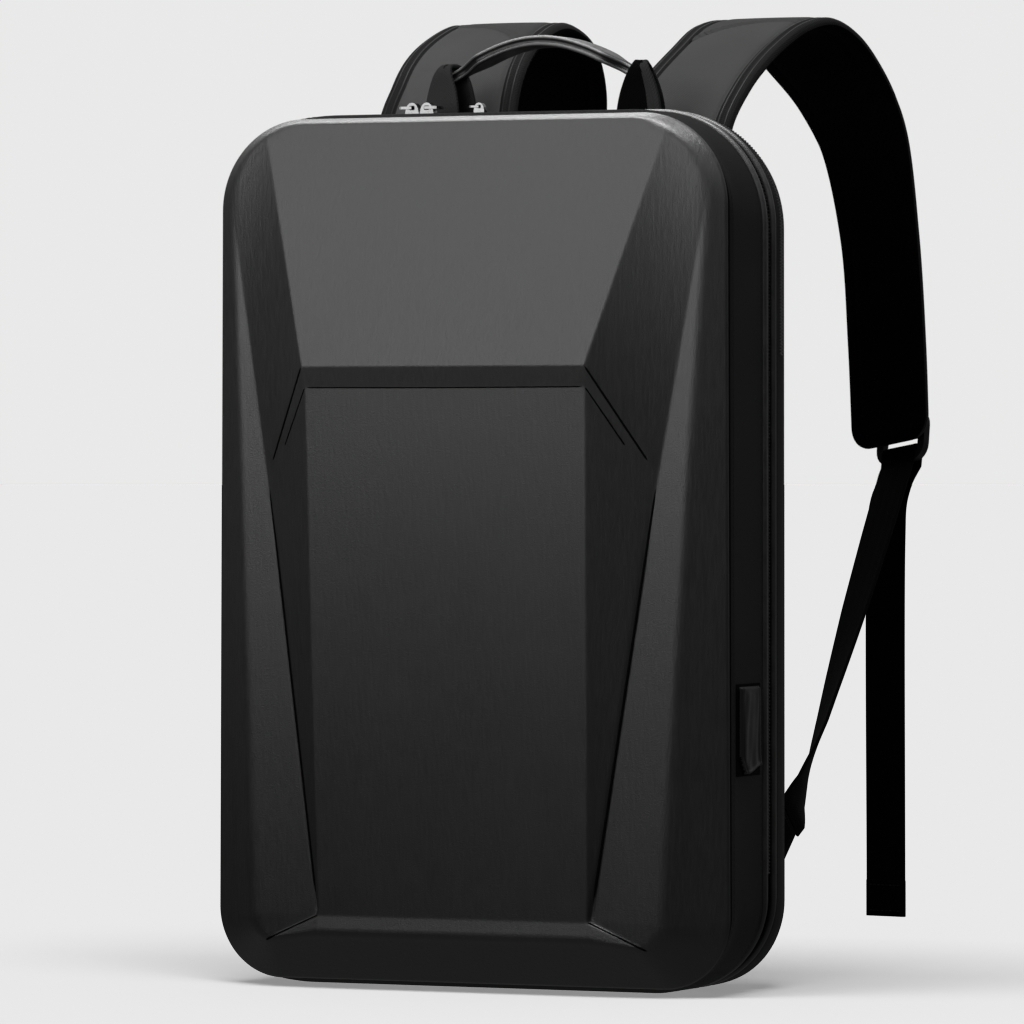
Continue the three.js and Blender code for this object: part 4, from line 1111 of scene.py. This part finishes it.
def anchor_tab(side):
    """Folded triangle of webbing in the rear seam, sewn along its edges."""
    steps, e = TAB_STEPS, TAB_EDGE
    shape = Shape()
    corners = np.array([tab_upper, tab_tip, tab_lower])
    cells = [(i, j) for i in range(steps + 1) for j in range(steps + 1 - i)]
    index = {cell: number for number, cell in enumerate(cells)}
    shares = np.array([(i, j, steps - i - j) for i, j in cells]) / steps
    points, edges = shares @ corners, shares.min(1)
    swell = TAB["thickness"] / 2 * dome(edges / e["round"])
    swell = np.maximum(swell - e["tuck"] * hump(edges, e["tuck_at"], e["tuck_width"]), e["least"])
    faces = []
    for i, j in cells:
        if i + j < steps:
            faces.append((index[i, j], index[i + 1, j], index[i, j + 1]))
        if i + j < steps - 1:
            faces.append((index[i + 1, j], index[i + 1, j + 1], index[i, j + 1]))
    a, b, c = corners.mean(0) + (corners - corners.mean(0)) * e["sewn"]
    share = np.linspace(0, 1, 10)[:, None]
    line = np.concatenate([a + (b - a) * share, b + (c - b) * share[1:]])
    for way in (tab_face, -tab_face):
        shape.add(points + way * swell[:, None], faces, points @ np.array([tab_out, up]).T)
        stitches(shape, line + way * e["lift"], way, pitch=2.6, length=1.9, radius=0.26)
    label = shape.on_side(side)
    make(f"side_tab_{label}", shape, [TAIL_WEB, THREAD], [f"anchor_tab_{label}"])


for side in (1, -1):
    webbing(side)
    anchor_tab(side)

# Carry handle


def handle_grip():
    """Padded grip, with a bead along the top and the foot of each edge; the beads' faces are painted lighter
    as highlight lines.
    """
    g = GRIP
    u = np.linspace(-1, 1, 90)
    rise = g["ends"] + (g["crest"] - g["ends"]) * np.cos(u * np.pi / 2)
    points = np.column_stack([HANDLE["x"] + u * g["half"], np.full(len(u), HANDLE["depth"]), rise])
    narrowing = smoothstep(np.abs(u), g["narrow_from"], g["narrow_to"])
    half = (g["middle"] + (g["end"] - g["middle"]) * narrowing) / 2
    across, through = band_axes(points, np.array([0.0, 1, 0]) + 0 * points)
    b = g["thickness"] / 2
    edge = [
        (2.4, -b), (1.2, -b + 0.1), (0.45, -b + 0.35), (0.02, -b + 0.95), (0.12, -b + 1.55),
        (0.85, -b + 1.95), (1.0, -b + 2.7), (0.9, b - 2.3), (0.15, b - 1.75), (0.0, b - 1.1),
        (0.4, b - 0.4), (1.2, b - 0.1), (2.4, b),
    ]
    section = [(1, d, v) for d, v in edge] + [(0, s, b) for s in (0.5, 0, -0.5)]
    section += [(-1, d, v) for d, v in reversed(edge)] + [(0, s, -b) for s in (-0.5, 0, 0.5)]
    grid = np.empty((len(u), len(section), 3))
    for k, (way, d, v) in enumerate(section):
        place = way * (half - np.minimum(d, half * 0.8)) if way else d * half
        grid[:, k] = points + across * place[:, None] + through * v
    weave = weave_of(run_of(points), run_of(grid[len(u) // 2]))
    grid = np.concatenate([grid, grid[:, :1]], 1)
    weave = np.concatenate([weave, weave[:, -1:] + (0, 1)], 1)
    # The beads' faces take the lighter cover as painted highlight lines
    raised = np.array([way != 0 and d <= 0.5 for way, d, _ in section])
    highlight_faces = (raised & np.roll(raised, -1)).astype(int)
    shape = Shape().add_grid(grid, weave, np.tile(highlight_faces, len(u) - 1))
    for row in (0, -1):
        shape.add_cap(grid[row, :-1])
    grip = make("carry_grip", shape, [GRIP_COVER, BEAD_HIGHLIGHT], ["handle_grip"], sharp=50)


def handle_loop(side):
    """Loop of webbing turned outwards, folded narrower where it passes over the grip's end."""
    p = LOOP
    across = turned(-p["turn"])
    behind = np.array([-across[1], across[0], 0])

    def place(offset, z):
        return np.array([p["x"], HANDLE["depth"], z]) + behind * offset

    arch = []
    for way in (-1, 1):
        nearest = HANDLE["depth"] + way * p["foot"] * behind[1] - (p["base"] * across[1] + p["thickness"]) / 2
        low = GIRTH["top"] - rear_inset(nearest)[0] + 1.5 * GAP
        leg = [
            place(way * p["foot"], low), place(way * (p["foot"] + p["waist"]) / 2, (low + p["top"]) / 2),
            place(way * p["waist"], p["top"] - p["bend"]), place(way * (p["waist"] - p["bend"]), p["top"]),
        ]
        arch += leg if way < 0 else leg[::-1]
    points = spline(arch, np.linspace(0, 1, LOOP_STEPS))
    share = np.clip((points[:, 2] - arch[-1][2]) / (p["top"] - arch[-1][2]), 0, 1)
    half = (p["base"] + (p["tip"] - p["base"]) * share ** p["flare"]) / 2
    shape = Shape()
    flat_band(shape, points, across + 0 * points, half, p["thickness"], ridge=0.12)
    levels, widths = points[: LOOP_STEPS // 2, 2], half[: LOOP_STEPS // 2]
    label = shape.on_side(side)
    for points in shape.points:
        points[:, 0] += HANDLE["x"]
    loop = make(f"grip_loop_{label}", shape, [LOOP_WEB, TAIL_WEB], [f"handle_loop_{label}"])
    # The right loop's inner part takes the near-black webbing as painted shade
    if side > 0:
        for face in loop.data.polygons:
            x, _, z = face.center * 1000
            reach = LOOP_PAINTED_SHADE * np.interp(z, levels, widths)
            face.material_index = int(x - p["x"] - HANDLE["x"] < reach)


handle_grip()
for side in (1, -1):
    handle_loop(side)

# Port flap


def port_flap():
    """Soft cover over a port: tucked into its slot in front and above, rumpled, its edges turned up; the slot
    is painted near-black as shade.
    """
    f = FLAP
    u, v = np.meshgrid(*(np.linspace(0, 1, count) for count in FLAP_GRID))
    foot = half_at(GIRTH, f["bottom"]) + GAP
    # Distances in from the flap's uneven edges
    front = (u - 0.13 - 0.15 * (1 - smoothstep(v, 0.03, 0.22))) * f["width"]
    back = (0.94 + 0.06 * (1 - smoothstep(v, 0.05, 0.3)) - u) * f["width"]
    below = (v - 0.015 - 0.085 * smoothstep(u, 0.45, 1)) * f["height"]
    edge = np.minimum(np.minimum(front, back), np.minimum(below, (0.955 - v) * f["height"]))
    rumple = 0.2 * np.sin(17 * u + 2.2 * np.sin(4 * v)) + 0.12 * np.sin(29 * u - 6 * v)
    turned_up = 0.75 * hump(front, 1.2, 0.9) + 0.4 * hump(back, 1, 0.8) + 0.5 * hump(below, 1.1, 0.8)
    dip = 0.65 * hump(front, 3.6, 1.2)
    lift = 0.08 + smoothstep(edge, -0.3, 0.5) * (1 + turned_up - dip + rumple * smoothstep(edge, 1, 4))
    outer = np.stack([foot + lift, f["depth"] + u * f["width"], f["bottom"] + v * f["height"]], -1)
    # Faces beyond the flap's edges, down in the slot, and the skirt round the flap are near-black as painted
    # shade
    slot = (edge[:-1, :-1] < -0.2).astype(int)
    shape = Shape().add_grid(outer, finish=slot.ravel())
    rim = rim_of(outer)
    shape.add_grid(np.array([rim, rim * (0, 1, 1) + (foot, 0, 0)]), closed=True, finish=1)
    make("port_cover", shape, [RUBBER, SHADE_BLACK], ["port_flap"])


port_flap()

# Hard pieces carried over


def finished(node, material):
    piece = frame["nodes"][node]
    piece.data.materials.clear()
    piece.data.materials.append(material)


for label in ("left", "right"):
    finished(f"ladder_lock_{label}", BLACK_PLASTIC)
    finished(f"buckle_loop_{label}", TAIL_WEB)
for number in (1, 2, 3):
    finished(f"zip_slider_{number}", CHROME)
    finished(f"zip_pull_{number}", CHROME)

# Floor, light and camera, in metres

BACKDROP = 0.815
FILL = dict(front=0.04, back=0.6, below=0.15)  # brightness of the room by direction
FLOOR = dict(size=400, drop=0.0006)
# The photo's camera: degrees to the right of the front, and how far it looks right and down
CAMERA = dict(lens=263.67, sensor=36, far=60, place=(1.65086, -3.5638, 0.281), turn=25)
LOOK_RIGHT, LOOK_DOWN = 40.5 / 7500, 62 / 7500


def floor():
    bpy.ops.mesh.primitive_plane_add(size=FLOOR["size"], location=(0, 0, -FLOOR["drop"]))
    plane = bpy.context.object
    plane.name = "floor"
    plane.is_shadow_catcher = True
    plane.visible_diffuse = plane.visible_glossy = False
    f = Finish("studio_floor")
    colour = f.mix(f.spread(f.noise(3, detail=2)), grey(0.8), grey(0.82))
    plane.data.materials.append(f.surface(colour=colour, roughness=0.8))
    return plane


def surroundings():
    """Even pale backdrop for the camera, and a dimmer room for the light, brighter behind the bag."""
    world = bpy.data.worlds.new("studio")
    world.use_nodes = True
    tree = world.node_tree
    tree.nodes.clear()
    seen, room = tree.nodes.new("ShaderNodeBackground"), tree.nodes.new("ShaderNodeBackground")
    seen.inputs["Color"].default_value = grey(BACKDROP)
    way, split = tree.nodes.new("ShaderNodeTexCoord"), tree.nodes.new("ShaderNodeSeparateXYZ")
    ranges = [
        ("Y", 0.2, 1, FILL["front"], FILL["back"]),
        ("Z", -0.2, 0.3, 0, 1),
        ("Z", -0.1, -0.5, 0, FILL["below"]),
    ]
    tree.links.new(way.outputs["Generated"], split.inputs[0])
    whole = tree.nodes.new("ShaderNodeMath")
    whole.operation = "MULTIPLY_ADD"
    for (axis, *limits), target in zip(ranges, whole.inputs):
        share = tree.nodes.new("ShaderNodeMapRange")
        for socket, value in zip(share.inputs[1:5], limits):
            socket.default_value = value
        tree.links.new(split.outputs[axis], share.inputs[0])
        tree.links.new(share.outputs[0], target)
    tree.links.new(whole.outputs[0], room.inputs["Color"])
    path, mix = tree.nodes.new("ShaderNodeLightPath"), tree.nodes.new("ShaderNodeMixShader")
    out = tree.nodes.new("ShaderNodeOutputWorld")
    tree.links.new(path.outputs["Is Camera Ray"], mix.inputs[0])
    tree.links.new(room.outputs[0], mix.inputs[1])
    tree.links.new(seen.outputs[0], mix.inputs[2])
    tree.links.new(mix.outputs[0], out.inputs[0])
    bpy.context.scene.world = world


def group(name, *pieces, state="INCLUDE"):
    """Pieces that a lamp is to light or be shaded by, or to pass over."""
    collection = bpy.data.collections.new(name)
    for piece in pieces:
        collection.objects.link(piece)
    for each in collection.collection_objects:
        each.light_linking.link_state = state
    return collection


def softbox(name, place, target, size, watts, spread=180, lights=None, shaded_by=None):
    light = bpy.data.lights.new(name, "AREA")
    light.shape = "RECTANGLE"
    light.size, light.size_y = size
    light.energy = watts
    light.spread = math.radians(spread)
    lamp = bpy.data.objects.new(name, light)
    bpy.context.scene.collection.objects.link(lamp)
    lamp.location = place
    lamp.rotation_euler = (Vector(target) - Vector(place)).to_track_quat("-Z", "Y").to_euler()
    lamp.visible_camera = False
    lamp.light_linking.receiver_collection = lights
    lamp.light_linking.blocker_collection = shaded_by


def photo_camera():
    data = bpy.data.cameras.new("photo_camera")
    data.lens, data.sensor_width, data.clip_end = CAMERA["lens"], CAMERA["sensor"], CAMERA["far"]
    camera = bpy.data.objects.new("photo_camera", data)
    bpy.context.scene.collection.objects.link(camera)
    camera.location = CAMERA["place"]
    turn = math.radians(CAMERA["turn"])
    ahead, right = Vector((-math.sin(turn), math.cos(turn), 0)), Vector((math.cos(turn), math.sin(turn), 0))
    look = ahead + right * LOOK_RIGHT - Vector((0, 0, LOOK_DOWN))
    camera.rotation_euler = look.to_track_quat("-Z", "Y").to_euler()
    bpy.context.scene.camera = camera


ground = floor()
surroundings()
piece = bpy.data.objects
shell = piece["shell_front"]
off_floor = group("off_floor", ground, state="EXCLUDE")
on_floor = group("on_floor", ground)
shell_only = group("shell_only", shell)
glossy = group("glossy_pieces", shell, piece["piping_front"], piece["piping_rear"], piece["carry_grip"])
body = group("body", shell, piece["gusset_front"], piece["gusset_rear"])
softbox("key", (-0.26, -0.8, 0.62), (0, -0.02, 0.53), (1.45, 0.56), 2.55, spread=90, lights=off_floor)
softbox("top", (0, 0.12, 1.5), (0, 0.06, 0.45), (1.0, 0.5), 5)
softbox("crown", (0, -0.1, 0.95), (0, -0.01, 0.44), (0.6, 0.2), 8, lights=glossy)
softbox("rim", (-0.45, 0.45, 1.1), (0, 0, 0.45), (0.8, 0.3), 6, lights=glossy)
softbox("side", (0.7, -0.5, 0.85), (0.1, 0, 0.42), (0.4, 0.3), 0.6, lights=shell_only)
softbox("wash", (0.05, -0.6, 1.8), (0, 0.02, 0), (1.5, 0.8), 150, lights=on_floor, shaded_by=body)
softbox("glow", (0, -0.6, 2), (0, 0.02, 0), (1, 1), 90, lights=on_floor, shaded_by=on_floor)
photo_camera()
bpy.context.scene.view_settings.view_transform = "Standard"
